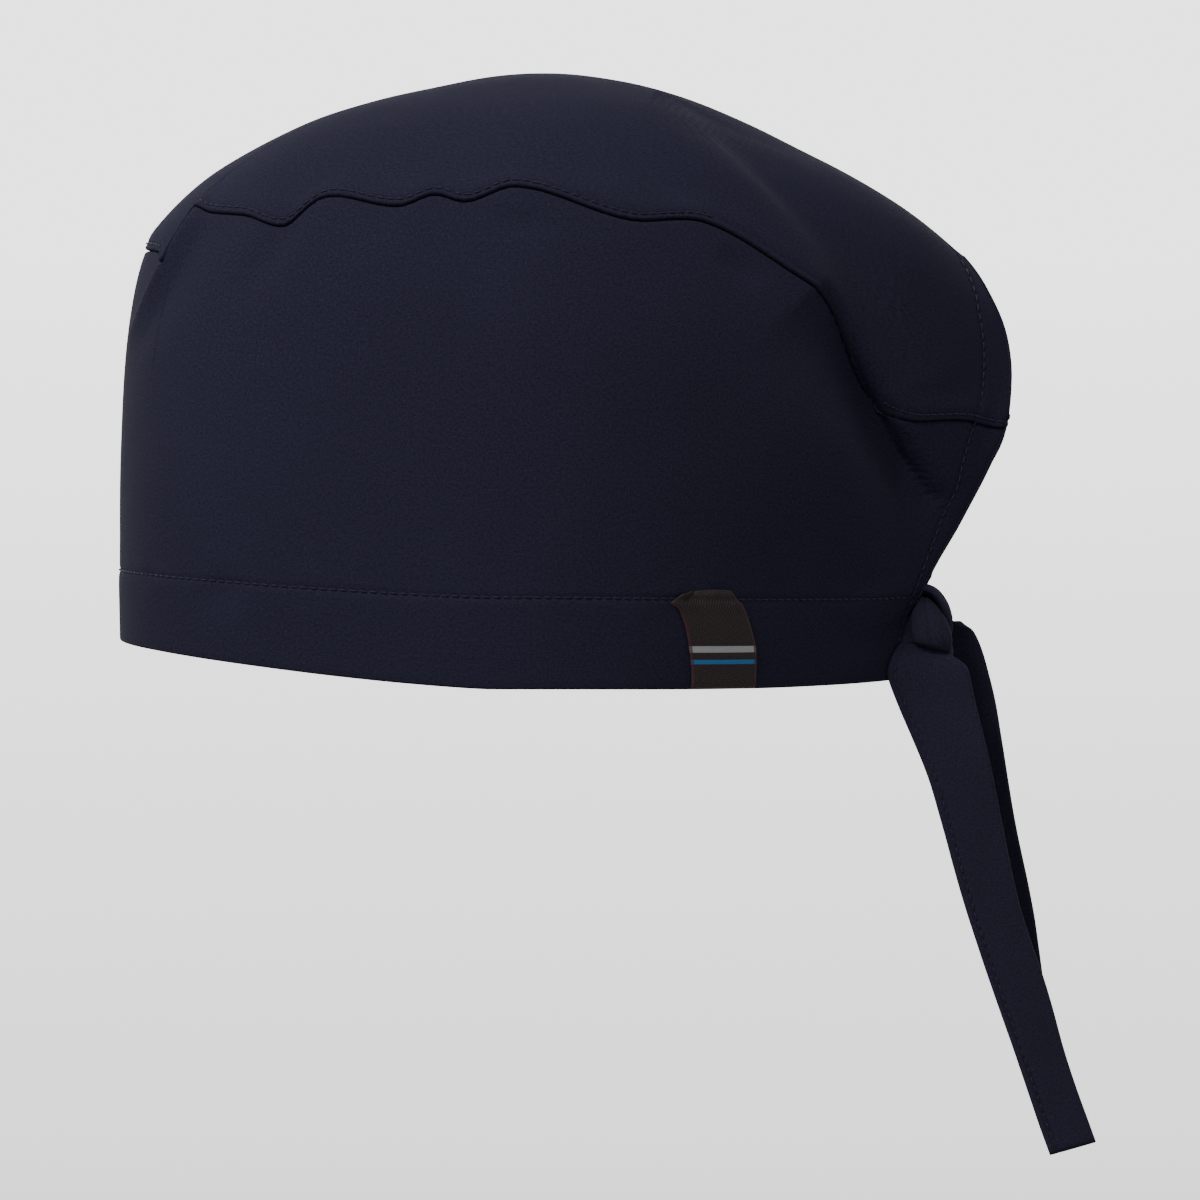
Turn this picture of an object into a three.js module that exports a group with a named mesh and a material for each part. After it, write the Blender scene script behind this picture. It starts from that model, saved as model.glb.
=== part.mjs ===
import * as THREE from 'three';

// Scrub cap, tied at the nape and filled out as a head fills it. Millimetres.
// +Z up, forehead at -Y, nape and knot at +Y, wearer's left at +X.

// Driving dimensions.
const WALL = 1.3;            // cloth wall of the crown and side panel
const HEM_WALL = 1.7;        // the hem is a turned-up double ply
const SEAM_GAP = 0.3;        // clear space kept between neighbouring pieces
const TIE_THICKNESS = 1.6;   // folded and stitched flat tie
const TAG_STANDOFF = 0.35;   // woven tag over the hem
const TAG_THICKNESS = 0.9;
const TURNS = 64;            // meridians round the cap
const FRONT_RISE = 1.3;      // how soon the lines climb towards the forehead

// Sections of the cap from the rim (up 0) past the crown seam (up 1) to the top (up 2).
// front, side and back are where each section crosses the forehead, the widest side and the slit.
// edgeX is half the slit, blunt squares the forehead, arch points the nape, sag drops behind the ear.
const SECTIONS = [
  { up: 0.00, frontY: -111.4, frontZ: -10.4, sideX: 75.0, sideY: -6, sideZ: -21.0, backY: 104.0, backZ: -21.5, edgeX: 9.0, blunt: 0.30, arch: 2.1, sag: -2.4 },
  { up: 0.16, frontY: -111.7, frontZ:   8.7, sideX: 77.0, sideY: -6, sideZ:   2.1, backY: 114.0, backZ:   1.1, edgeX: 7.0, blunt: 0.30, arch: 2.1, sag: -0.8 },
  { up: 0.45, frontY: -111.2, frontZ:  45.0, sideX: 79.0, sideY: -4, sideZ:  39.0, backY: 122.5, backZ:  21.0, edgeX: 3.5, blunt: 0.30, arch: 2.0, sag:  0.0 },
  { up: 0.75, frontY: -108.2, frontZ:  80.0, sideX: 76.0, sideY:  0, sideZ:  77.0, backY: 131.0, backZ:  37.0, edgeX: 2.4, blunt: 0.30, arch: 1.9, sag:  0.0 },
  { up: 1.00, frontY: -102.4, frontZ: 101.5, sideX: 67.0, sideY:  2, sideZ: 109.5, backY: 136.3, backZ:  50.0, edgeX: 2.4, blunt: 0.30, arch: 1.9, sag:  0.0 },
  { up: 1.07, frontY:  -95.8, frontZ: 110.0, sideX: 62.0, sideY:  2, sideZ: 116.0, backY: 137.2, backZ:  66.0, edgeX: 2.4, blunt: 0.30, arch: 1.9, sag:  0.0 },
  { up: 1.16, frontY:  -86.0, frontZ: 119.3, sideX: 55.0, sideY:  3, sideZ: 123.5, backY: 133.6, backZ:  81.0, edgeX: 1.8, blunt: 0.28, arch: 1.8, sag:  0.0 },
  { up: 1.28, frontY:  -69.5, frontZ: 128.5, sideX: 46.5, sideY:  3, sideZ: 130.5, backY: 122.5, backZ:  96.0, edgeX: 0.0, blunt: 0.25, arch: 1.6, sag:  0.0 },
  { up: 1.48, frontY:  -50.0, frontZ: 136.5, sideX: 33.5, sideY:  3, sideZ: 138.0, backY:  94.5, backZ: 116.8, edgeX: 0.0, blunt: 0.20, arch: 1.3, sag:  0.0 },
  { up: 1.74, frontY:  -22.8, frontZ: 143.6, sideX: 17.0, sideY:  3, sideZ: 144.5, backY:  47.0, backZ: 138.8, edgeX: 0.0, blunt: 0.10, arch: 1.1, sag:  0.0 },
  { up: 2.00, frontY:    3.0, frontZ: 147.3, sideX:  0.0, sideY:  3, sideZ: 147.3, backY:   3.0, backZ: 147.3, edgeX: 0.0, blunt: 0.00, arch: 1.0, sag:  0.0 },
];

// The crown seam wanders: where it lies on the sections, by turn from forehead (0) to slit (180).
const SEAM = [
  { turn:   0, up: 1.00 }, { turn:  18, up: 0.97 }, { turn:  30, up: 1.03 }, { turn:  42, up: 1.00 },
  { turn:  52, up: 0.98 }, { turn:  60, up: 1.03 }, { turn:  70, up: 0.99 }, { turn:  77, up: 1.00 },
  { turn:  83, up: 0.985 }, { turn: 90, up: 1.005 }, { turn: 96, up: 1.00 }, { turn: 101, up: 0.96 },
  { turn: 111, up: 1.00 }, { turn: 116, up: 0.98 }, { turn: 123, up: 0.95 }, { turn: 130, up: 0.91 },
  { turn: 137, up: 0.81 }, { turn: 142, up: 0.75 }, { turn: 150, up: 0.80 }, { turn: 158, up: 0.87 },
  { turn: 172, up: 0.97 }, { turn: 180, up: 1.00 },
];
const HEM_UP = 0.16;

// Broad folds of the worn cloth, as crease lines seen from the side.
// height is outward, width is the half-width across the line.
const FOLDS = [
  { name: 'rear_swell',  from: [90, 78],  bend: [97, 58],   to: [113, 28],  width: 9,  height:  4.0 },
  { name: 'rear_hollow', from: [102, 76], bend: [110, 58],  to: [120, 33],  width: 6,  height: -5.0 },
  { name: 'drag_ridge',  from: [33, 142], bend: [64, 114],  to: [92, 72],   width: 7,  height:  2.2 },
  { name: 'drag_valley', from: [45, 137], bend: [77, 111],  to: [104, 76],  width: 8,  height: -4.0 },
];
const FAR_SIDE_FOLDS = 0.75;  // folds are softer on the wearer's right

// Flat ties: edges seen from the side, and how far out each row hangs.
const TIE_LEFT = [
  { lead: [105.0,  -20.0], trail: [122.6,  -17.0], leadX: 12.4, trailX: 11.0 },
  { lead: [108.0,  -28.6], trail: [125.4,  -28.2], leadX: 12.6, trailX: 11.0 },
  { lead: [112.8,  -47.0], trail: [129.6,  -46.2], leadX: 12.0, trailX: 10.4 },
  { lead: [118.0,  -62.0], trail: [133.0,  -61.0], leadX: 11.6, trailX:  9.2 },
  { lead: [125.3,  -85.4], trail: [138.3,  -84.6], leadX: 11.0, trailX:  7.6 },
  { lead: [132.0, -108.0], trail: [145.3, -107.0], leadX: 10.4, trailX:  6.2 },
  { lead: [138.9, -131.0], trail: [152.3, -129.6], leadX: 10.0, trailX:  5.0 },
  { lead: [149.6, -154.3], trail: [159.5, -150.2], leadX:  9.8, trailX:  4.4 },
];
const TIE_RIGHT = [
  { lead: [110.0,  -19.0], trail: [127.6,  -18.0], leadX: -11.0, trailX: -9.4 },
  { lead: [114.0,  -28.0], trail: [132.0,  -26.5], leadX: -11.6, trailX: -9.6 },
  { lead: [119.0,  -40.0], trail: [134.8,  -40.0], leadX: -11.4, trailX: -9.0 },
  { lead: [125.0,  -62.0], trail: [139.0,  -62.0], leadX: -10.6, trailX: -7.8 },
  { lead: [131.0,  -87.3], trail: [143.7,  -87.3], leadX:  -9.6, trailX: -6.4 },
  { lead: [137.0, -112.6], trail: [148.6, -112.6], leadX:  -8.6, trailX: -5.2 },
  { lead: [140.8, -128.0], trail: [151.8, -127.5], leadX:  -8.0, trailX: -4.6 },
  { lead: [144.4, -143.6], trail: [155.0, -141.4], leadX:  -7.6, trailX: -4.2 },
];

// The knot, as level sections from its top down.
const KNOT = [
  { z:   3.6, frontY: 116.2, backY: 117.2, halfX:  2.0 },
  { z:   2.2, frontY: 115.4, backY: 118.0, halfX:  5.5 },
  { z:  -1.5, frontY: 113.8, backY: 119.6, halfX:  9.6 },
  { z:  -6.0, frontY: 111.8, backY: 121.6, halfX: 12.0 },
  { z: -10.5, frontY: 109.8, backY: 123.2, halfX: 12.6 },
  { z: -14.4, frontY: 108.2, backY: 123.0, halfX: 11.2 },
  { z: -16.2, frontY: 108.6, backY: 121.6, halfX:  8.6 },
];

// The woven tag: its patch of the hem, by turn and section.
const TAG = { turnFrom: 116.6, turnTo: 128.4, upFrom: -0.006, upTo: 0.185 };

const COLUMNS = ['frontY', 'frontZ', 'sideX', 'sideY', 'sideZ', 'backY', 'backZ', 'edgeX', 'blunt', 'arch', 'sag'];
const LEVEL_AT_TOP = new Set(['frontZ', 'sideZ', 'backZ']);
const rad = THREE.MathUtils.degToRad;

// Smooth value of one column at a knot, through neighbouring rows.
function along(rows, key, name, at) {
  const last = rows.length - 1;
  let i = 0;
  while (i < last - 1 && rows[i + 1][key] <= at) i++;
  const a = rows[i], b = rows[i + 1], h = b[key] - a[key];
  const slope = (j) => {
    if (j === last && LEVEL_AT_TOP.has(name)) return 0;
    const lo = rows[Math.max(j - 1, 0)], hi = rows[Math.min(j + 1, last)];
    return (hi[name] - lo[name]) / (hi[key] - lo[key]);
  };
  const t = (at - a[key]) / h, t2 = t * t, t3 = t2 * t;
  return (2 * t3 - 3 * t2 + 1) * a[name] + (t3 - 2 * t2 + t) * h * slope(i)
    + (3 * t2 - 2 * t3) * b[name] + (t3 - t2) * h * slope(i + 1);
}

// Height of the folds over a point of one side.
function foldHeight(y, z) {
  let sum = 0;
  for (const fold of FOLDS) {
    let best = Infinity, where = 0;
    const steps = 24;
    for (let i = 0; i <= steps; i++) {
      const t = i / steps;
      const py = (1 - t) * (1 - t) * fold.from[0] + 2 * t * (1 - t) * fold.bend[0] + t * t * fold.to[0];
      const pz = (1 - t) * (1 - t) * fold.from[1] + 2 * t * (1 - t) * fold.bend[1] + t * t * fold.to[1];
      const d = Math.hypot(y - py, z - pz);
      if (d < best) { best = d; where = t; }
    }
    const ends = Math.sin(Math.PI * THREE.MathUtils.clamp(where, 0, 1)) ** 0.6;
    sum += fold.height * ends * Math.exp(-((best / fold.width) ** 2));
  }
  return sum;
}

// A point of the unfolded surface; turn in degrees, left side positive.
function basePoint(turn, up) {
  const c = {};
  for (const name of COLUMNS) c[name] = along(SECTIONS, 'up', name, up);
  const edge = Math.max(c.edgeX, 0);
  const a = rad(Math.abs(turn)), side = Math.sign(turn) || 1;
  const s = Math.max(Math.sin(a), 0), k = Math.abs(Math.cos(a));
  let x, y, z;
  if (Math.abs(turn) <= 90) {
    x = c.sideX * s * (1 + c.blunt * k * k);
    y = c.sideY - (c.sideY - c.frontY) * k;
    z = c.sideZ + (c.frontZ - c.sideZ) * k ** FRONT_RISE;
  } else {
    x = edge + (c.sideX - edge) * (s < 1e-9 ? 0 : s ** c.arch);
    y = c.sideY + (c.backY - c.sideY) * k;
    z = c.sideZ + (c.backZ - c.sideZ) * k * k + c.sag * Math.sin(2 * a) ** 2;
  }
  return new THREE.Vector3(side * x, y, z);
}

function baseNormal(turn, up) {
  if (up > 1.995) return new THREE.Vector3(0, 0, 1);
  const e = 0.6, f = 0.004;
  const onSlit = Math.abs(turn) > 179.5;
  const seamless = onSlit && basePoint(180, up).x < 1e-6;
  const lim = (t) => THREE.MathUtils.clamp(t, -180, 180);
  const du = basePoint(lim(turn + e), up).sub(basePoint(lim(turn - e), up));
  const dv = basePoint(turn, Math.min(up + f, 2)).sub(basePoint(turn, up - f));
  const n = du.cross(dv).normalize();
  if (seamless || Math.abs(turn) < 1e-6) n.x = 0;
  return n.normalize();
}

// A point of the cap, folds included, raised off the cloth's outer face by lift.
function capPoint(turn, up, lift = 0) {
  const p = basePoint(turn, up), n = baseNormal(turn, up);
  const share = turn >= 0 ? 1 : FAR_SIDE_FOLDS;
  const slitFade = Math.abs(turn) > 90 ? THREE.MathUtils.smoothstep(Math.abs(p.x), 2, 20) : 1;
  return p.addScaledVector(n, lift + share * slitFade * foldHeight(p.y, p.z));
}

// How much the section number changes over one millimetre of cloth.
function upPerMillimetre(turn, up) {
  const f = 0.01;
  return 2 * f / basePoint(turn, up + f).distanceTo(basePoint(turn, up - f));
}

// A closed solid from triangles given by corner points, equal points joined.
function solid(triangles) {
  const index = new Map(), positions = [], indices = [];
  const idOf = (p) => {
    const key = [p.x, p.y, p.z].map((v) => Math.round(v * 1e4)).join('_').replace(/-0(?=_|$)/g, '0');
    if (!index.has(key)) { index.set(key, positions.length / 3); positions.push(p.x, p.y, p.z); }
    return index.get(key);
  };
  for (const t of triangles) {
    const [a, b, c] = t.map(idOf);
    if (a !== b && b !== c && c !== a) indices.push(a, b, c);
  }
  const g = new THREE.BufferGeometry();
  g.setAttribute('position', new THREE.Float32BufferAttribute(positions, 3));
  g.setIndex(indices);
  g.computeVertexNormals();
  return g;
}

const quad = (out, a, b, c, d) => out.push([a, b, c], [a, c, d]);

// A cloth wall between an outer and an inner grid; ends says which rows have slit edges.
function clothWall(columns, rows, outer, inner, { poleTop = false, slitOpen = () => true } = {}) {
  const O = [], I = [];
  for (let i = 0; i <= columns; i++) {
    O.push([]); I.push([]);
    for (let j = 0; j <= rows; j++) { O[i].push(outer(i, j)); I[i].push(inner(i, j)); }
  }
  const tris = [];
  for (let i = 0; i < columns; i++) {
    for (let j = 0; j < rows; j++) {
      quad(tris, O[i][j], O[i + 1][j], O[i + 1][j + 1], O[i][j + 1]);
      quad(tris, I[i][j], I[i][j + 1], I[i + 1][j + 1], I[i + 1][j]);
    }
    quad(tris, O[i][0], I[i][0], I[i + 1][0], O[i + 1][0]);
    if (!poleTop) quad(tris, O[i][rows], O[i + 1][rows], I[i + 1][rows], I[i][rows]);
  }
  for (let j = 0; j < rows; j++) {
    if (!slitOpen(j)) continue;
    quad(tris, O[0][j], O[0][j + 1], I[0][j + 1], I[0][j]);
    const e = columns;
    quad(tris, O[e][j], I[e][j], I[e][j + 1], O[e][j + 1]);
  }
  return solid(tris);
}

const turnOf = (i) => -180 + (360 * i) / TURNS;
const seamUp = (turn) => along(SEAM, 'turn', 'up', Math.abs(turn));

// Crown: from the seam up over the top, one piece above the slit.
const CROWN_STEPS = [0, 0.06, 0.13, 0.21, 0.3, 0.42, 0.56, 0.7, 0.84, 1];
function crownUp(turn, j) {
  const low = seamUp(turn) + SEAM_GAP / 2 * upPerMillimetre(turn, seamUp(turn));
  return low + (2 - low) * CROWN_STEPS[j];
}
const crownGeometry = clothWall(TURNS, CROWN_STEPS.length - 1,
  (i, j) => capPoint(turnOf(i), crownUp(turnOf(i), j)),
  (i, j) => capPoint(turnOf(i), crownUp(turnOf(i), j), -WALL),
  { poleTop: true, slitOpen: (j) => basePoint(180, crownUp(180, j)).x > 1e-6 });

// Side panel: hem line to crown seam, slit edge to slit edge.
const PANEL_ROWS = 9;
function panelUp(turn, j) {
  const low = HEM_UP + SEAM_GAP / 2 * upPerMillimetre(turn, HEM_UP);
  const high = seamUp(turn) - SEAM_GAP / 2 * upPerMillimetre(turn, seamUp(turn));
  return low + (high - low) * (j / PANEL_ROWS);
}
const panelGeometry = clothWall(TURNS, PANEL_ROWS,
  (i, j) => capPoint(turnOf(i), panelUp(turnOf(i), j)),
  (i, j) => capPoint(turnOf(i), panelUp(turnOf(i), j), -WALL));

// Hem band: rim to hem line.
const HEM_ROWS = 2;
function hemUp(turn, j) {
  const high = HEM_UP - SEAM_GAP / 2 * upPerMillimetre(turn, HEM_UP);
  return high * (j / HEM_ROWS);
}
const hemGeometry = clothWall(TURNS, HEM_ROWS,
  (i, j) => capPoint(turnOf(i), hemUp(turnOf(i), j)),
  (i, j) => capPoint(turnOf(i), hemUp(turnOf(i), j), -HEM_WALL));

// Ties: flat straps through their rows.
function tieGeometry(rowsTable) {
  const across = 2, steps = rowsTable.length - 1;
  const rows = rowsTable.map((r, i) => ({ i, ly: r.lead[0], lz: r.lead[1], ty: r.trail[0], tz: r.trail[1], lx: r.leadX, tx: r.trailX }));
  const at = (i, j) => {
    const r = {};
    for (const n of ['ly', 'lz', 'ty', 'tz', 'lx', 'tx']) r[n] = along(rows, 'i', n, i / 2);
    const lead = new THREE.Vector3(r.lx, r.ly, r.lz), trail = new THREE.Vector3(r.tx, r.ty, r.tz);
    return lead.lerp(trail, j / across);
  };
  const half = TIE_THICKNESS / 2;
  const n = steps * 2;
  const normal = (i, j) => {
    const du = at(Math.min(i + 1, n), j).sub(at(Math.max(i - 1, 0), j));
    const dv = at(i, across).sub(at(i, 0));
    return dv.cross(du).normalize().multiplyScalar(-1);
  };
  const facing = normal(0, 0).x > 0 ? 1 : -1;
  const outer = (i, j) => at(i, j).addScaledVector(normal(i, j), half * facing);
  const inner = (i, j) => at(i, j).addScaledVector(normal(i, j), -half * facing);
  return clothWall(n, across, outer, inner);
}

// Knot: rounded lump through its level sections.
function knotGeometry() {
  const around = 24, tris = [];
  const ring = KNOT.map((k) => {
    const cy = (k.frontY + k.backY) / 2, hy = (k.backY - k.frontY) / 2;
    return Array.from({ length: around }, (_, i) => {
      const a = (2 * Math.PI * i) / around;
      const c = Math.cos(a), s = Math.sin(a);
      const sq = (v) => Math.sign(v) * Math.abs(v) ** 0.8;
      return new THREE.Vector3(k.halfX * sq(c), cy + hy * sq(s), k.z);
    });
  });
  const cap = (k, dz) => new THREE.Vector3(0, (k.frontY + k.backY) / 2, k.z + dz);
  const top = cap(KNOT[0], 0.3), bottom = cap(KNOT[KNOT.length - 1], -0.3);
  for (let i = 0; i < around; i++) {
    const n = (i + 1) % around;
    tris.push([top, ring[0][i], ring[0][n]]);
    for (let r = 0; r < KNOT.length - 1; r++) quad(tris, ring[r][i], ring[r + 1][i], ring[r + 1][n], ring[r][n]);
    const e = KNOT.length - 1;
    tris.push([bottom, ring[e][n], ring[e][i]]);
  }
  return solid(tris);
}

// Tag: a patch standing just off the hem.
const TAG_ACROSS = 6, TAG_ALONG = 5;
const tagPoint = (i, j, lift) => capPoint(
  TAG.turnFrom + (TAG.turnTo - TAG.turnFrom) * (i / TAG_ACROSS),
  TAG.upFrom + (TAG.upTo - TAG.upFrom) * (j / TAG_ALONG), lift);
const tagGeometry = clothWall(TAG_ACROSS, TAG_ALONG,
  (i, j) => tagPoint(i, j, TAG_STANDOFF + TAG_THICKNESS),
  (i, j) => tagPoint(i, j, TAG_STANDOFF));

// Materials.
const navyCloth = new THREE.MeshStandardMaterial({ name: 'navy_cloth', color: '#20222f', roughness: 0.92, metalness: 0 });
const navyHem = new THREE.MeshStandardMaterial({ name: 'navy_hem_cloth', color: '#1d1e2b', roughness: 0.92, metalness: 0 });
const navyTape = new THREE.MeshStandardMaterial({ name: 'navy_tie_cloth', color: '#1b1a28', roughness: 0.92, metalness: 0 });
const tagWeave = new THREE.MeshStandardMaterial({ name: 'brown_woven_tag', color: '#33292a', roughness: 0.85, metalness: 0 });

const group = new THREE.Group();
group.name = 'scrub_cap';
function add(name, geometry, material) {
  const mesh = new THREE.Mesh(geometry, material);
  mesh.name = name;
  group.add(mesh);
}
add('crown_panel', crownGeometry, navyCloth);
add('side_panel', panelGeometry, navyCloth);
add('hem_band', hemGeometry, navyHem);
add('tie_left', tieGeometry(TIE_LEFT), navyTape);
add('tie_right', tieGeometry(TIE_RIGHT), navyTape);
add('tie_knot', knotGeometry(), navyTape);
add('woven_label', tagGeometry, tagWeave);

export default group;
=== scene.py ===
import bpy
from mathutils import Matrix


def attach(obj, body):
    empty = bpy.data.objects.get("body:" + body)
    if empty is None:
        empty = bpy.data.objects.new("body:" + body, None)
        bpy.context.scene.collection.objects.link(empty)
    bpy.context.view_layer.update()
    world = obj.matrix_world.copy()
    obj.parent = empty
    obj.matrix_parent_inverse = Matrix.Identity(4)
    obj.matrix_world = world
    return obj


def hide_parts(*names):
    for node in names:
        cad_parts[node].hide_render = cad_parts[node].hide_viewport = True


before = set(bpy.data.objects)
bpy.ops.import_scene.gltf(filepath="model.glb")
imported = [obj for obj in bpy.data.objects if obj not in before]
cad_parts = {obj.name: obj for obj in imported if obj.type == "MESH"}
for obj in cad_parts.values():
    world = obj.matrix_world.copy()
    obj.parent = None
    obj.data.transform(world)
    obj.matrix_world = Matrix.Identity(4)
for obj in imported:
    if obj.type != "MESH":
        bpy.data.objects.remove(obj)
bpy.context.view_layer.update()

import math

import bmesh
import bpy
import numpy as np
from bpy.props import FloatProperty, FloatVectorProperty, PointerProperty
from bpy.types import Operator, Panel, PropertyGroup
from mathutils import Vector

bl_info = {
    "name": "Scrub cap",
    "version": (1, 0, 0),
    "blender": (4, 5, 0),
    "location": "3D View > Sidebar > Scrub cap",
    "description": "Builds a tie-back cloth scrub cap around its packed frame",
    "category": "Object",
}

MM = 0.001
BODY = "root"
TAG_WIDTH = 0.0185
FAR = 99.0    # millimetres: beyond the reach of any relief

# ---------------------------------------------------------------- the cap's form
# Sections of the cap in millimetres, from the rim (up 0) past the crown seam (up 1) to the top.
# Columns: up, frontY, frontZ, sideX, sideY, sideZ, backY, backZ, edgeX, blunt, arch, sag.
SECTIONS = np.array([
    (0.00, -111.4, -10.2, 75.0, -6, -21.5, 104.0, -21.5, 9.0, 0.30, 2.1, -0.9),
    (0.16, -111.7, 8.7, 77.0, -6, 2.1, 111.4, 1.1, 7.0, 0.30, 2.1, -0.8),
    (0.45, -111.0, 45.0, 79.0, -4, 39.0, 122.5, 21.0, 3.5, 0.30, 2.1, 0.0),
    (0.75, -108.0, 80.0, 76.0, 0, 77.0, 131.0, 37.0, 2.4, 0.30, 2.2, 0.0),
    (1.00, -102.2, 101.3, 67.0, 2, 109.5, 136.3, 50.0, 2.4, 0.30, 2.3, 0.0),
    (1.07, -95.5, 109.8, 62.0, 2, 116.0, 137.2, 66.0, 2.4, 0.30, 2.3, 0.0),
    (1.16, -85.2, 118.6, 55.0, 3, 123.5, 133.6, 81.0, 1.8, 0.28, 2.1, 0.0),
    (1.28, -69.0, 128.0, 46.5, 3, 130.5, 122.9, 96.9, 0.0, 0.25, 1.8, 0.0),
    (1.48, -50.0, 136.5, 33.5, 3, 138.0, 94.4, 117.2, 0.0, 0.20, 1.3, 0.0),
    (1.74, -22.8, 143.6, 17.0, 3, 144.5, 47.6, 139.8, 0.0, 0.10, 1.1, 0.0),
    (2.00, 3.0, 147.3, 0.0, 3, 147.3, 3.0, 147.3, 0.0, 0.00, 1.0, 0.0),
])
LEVEL_AT_TOP = [1, 4, 6]      # the heights arrive level at the top of the crown
FRONT_RISE = 1.3

# Where the crown seam lies on the sections: its crests, dips and shoulders, in order from the
# forehead to the slit. Columns: turn from the forehead in degrees, up.
SEAM = np.array([
    (0, 0.96), (20, 0.93), (26, 0.89), (27, 1.03), (28, 1.04), (32, 1.03), (44, 1.00), (53, 0.96),
    (59, 1.02), (72, 0.98), (77, 1.00), (82, 0.98), (89, 1.01), (102, 0.96), (111, 1.00),
    (122, 0.97), (130, 0.94), (144, 0.77), (160, 0.90), (180, 1.00),
])
HEM_UP = 0.16
SLIT_TOP_UP = 1.28

# Creases of the worn cloth seen from the side, in millimetres.
# Columns: from, bend and to as (Y, Z), half-width before and behind the line, height,
# how far the cloth behind laps over the line (or, below 0, the cloth before it),
# share of it all on the wearer's left and right.
FOLDS = [
    # the swell over the nape pouch, with its lit ridge, and the deep fold that the pouch laps over
    ((76, 68), (84, 44), (104, 18), 15.0, 9.0, 1.2, 0.0, 1.0, 0.7),
    ((72, 58), (94, 37), (113, 17), 8.0, 3.4, 0.5, 0.0, 1.0, 0.6),
    ((81, 86), (106, 57), (127, 4), 14.0, 2.2, -9.4, 3.0, 1.0, 0.7),
    # the long drag crease over the back of the crown, and the broad valley behind it
    ((28, 146), (67, 118), (92, 74), 9.0, 4.0, 1.2, 0.0, 1.0, 0.6),
    ((36, 138), (88, 114), (110, 60), 7.0, 12.0, -3.8, 0.0, 1.0, 0.6),
    # the small pleat at the front corner of the crown seam
    ((-82, 114), (-94.5, 94), (-109, 68), 5.0, 1.3, 1.6, -1.8, 1.0, 0.8),
    ((-80, 110), (-91.5, 92), (-105, 66), 1.6, 7.0, -1.6, 0.0, 1.0, 0.8),
    # soft dents under the seam and on the hem
    ((-58, 104), (-66, 94), (-76, 78), 4.0, 5.0, -0.9, 0.0, 1.0, 0.5),
    ((-6, 103), (3, 99), (11, 101), 3.0, 3.0, -0.8, 0.0, 1.0, 0.0),
    ((54, 95), (60, 90), (66, 84), 3.0, 3.0, -0.9, 0.0, 1.0, 0.4),
    ((22, 128), (36, 116), (48, 103), 3.0, 6.0, -0.7, 0.0, 1.0, 0.3),
    ((-83, 7), (-78, 3), (-72, -1), 5.0, 5.0, -0.8, 0.0, 1.0, 0.3),
    # gathers that run to the knot
    ((113, 27), (119, 29), (126, 30), 2.0, 2.6, -1.5, 0.0, 1.0, 1.0),
    ((112, 4), (100, 2), (84, -3), 3.0, 3.0, 0.7, 0.0, 1.0, 1.0),
    ((110, -3), (106, -7), (97, -9), 1.6, 1.6, -1.0, 0.0, 1.0, 1.0),
    ((109, -9), (98, -10), (84, -13), 3.0, 3.0, -0.8, 0.0, 1.0, 1.0),
]
# Stretches of the crown seam, in turn on the wearer's left, whose topstitch is rolled out of sight.
ROLLED_UNDER = [(22, 28.5), (113, 142)]
# How far in from the slit edge its stitches run, in millimetres. Columns: up, inset.
SLIT_STITCH = np.array([
    (0.00, 2.0), (0.10, 3.4), (0.20, 3.2), (0.32, 4.6), (0.45, 6.2), (0.60, 7.0), (0.70, 9.2),
    (0.85, 11.0), (1.00, 11.2), (1.12, 11.0), (1.20, 7.5), (1.28, 4.5),
])


def spline_columns(rows, at):
    """All columns of a table at the given knots, on a smooth curve through its rows."""
    knots, values = rows[:, 0], rows[:, 1:]
    slopes = np.empty_like(values)
    slopes[1:-1] = (values[2:] - values[:-2]) / (knots[2:] - knots[:-2])[:, None]
    slopes[0] = (values[1] - values[0]) / (knots[1] - knots[0])
    slopes[-1] = (values[-1] - values[-2]) / (knots[-1] - knots[-2])
    if rows is SECTIONS:
        slopes[-1, LEVEL_AT_TOP] = 0.0
    at = np.asarray(at, float)
    i = np.clip(np.searchsorted(knots, at, side="right") - 1, 0, len(knots) - 2)
    h = (knots[i + 1] - knots[i])[..., None]
    t = (at[..., None] - knots[i][..., None]) / h
    return ((2 * t**3 - 3 * t**2 + 1) * values[i] + (t**3 - 2 * t**2 + t) * h * slopes[i]
            + (3 * t**2 - 2 * t**3) * values[i + 1] + (t**3 - t**2) * h * slopes[i + 1])


def base_point(turn, up):
    """The unfolded cap surface in millimetres; turn in degrees, the wearer's left positive."""
    turn, up = np.broadcast_arrays(np.asarray(turn, float), np.asarray(up, float))
    front_y, front_z, side_x, side_y, side_z, back_y, back_z, edge_x, blunt, arch, sag = (
        np.moveaxis(spline_columns(SECTIONS, up), -1, 0))
    edge_x = np.maximum(edge_x, 0.0)
    angle = np.radians(np.abs(turn))
    s, k = np.maximum(np.sin(angle), 0.0), np.abs(np.cos(angle))
    s = np.where(s < 1e-9, 0.0, s)
    ahead = np.abs(turn) <= 90
    x = np.where(ahead, side_x * s * (1 + blunt * k * k), edge_x + (side_x - edge_x) * s**arch)
    y = np.where(ahead, side_y - (side_y - front_y) * k, side_y + (back_y - side_y) * k)
    z = np.where(ahead, side_z + (front_z - side_z) * k**FRONT_RISE,
                 side_z + (back_z - side_z) * k * k + sag * np.sin(2 * angle) ** 2)
    return np.stack([np.where(turn < 0, -x, x), y, z], -1)


def unit(v):
    """Vectors made one long."""
    return v / np.maximum(np.linalg.norm(v, axis=-1, keepdims=True), 1e-12)


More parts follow.
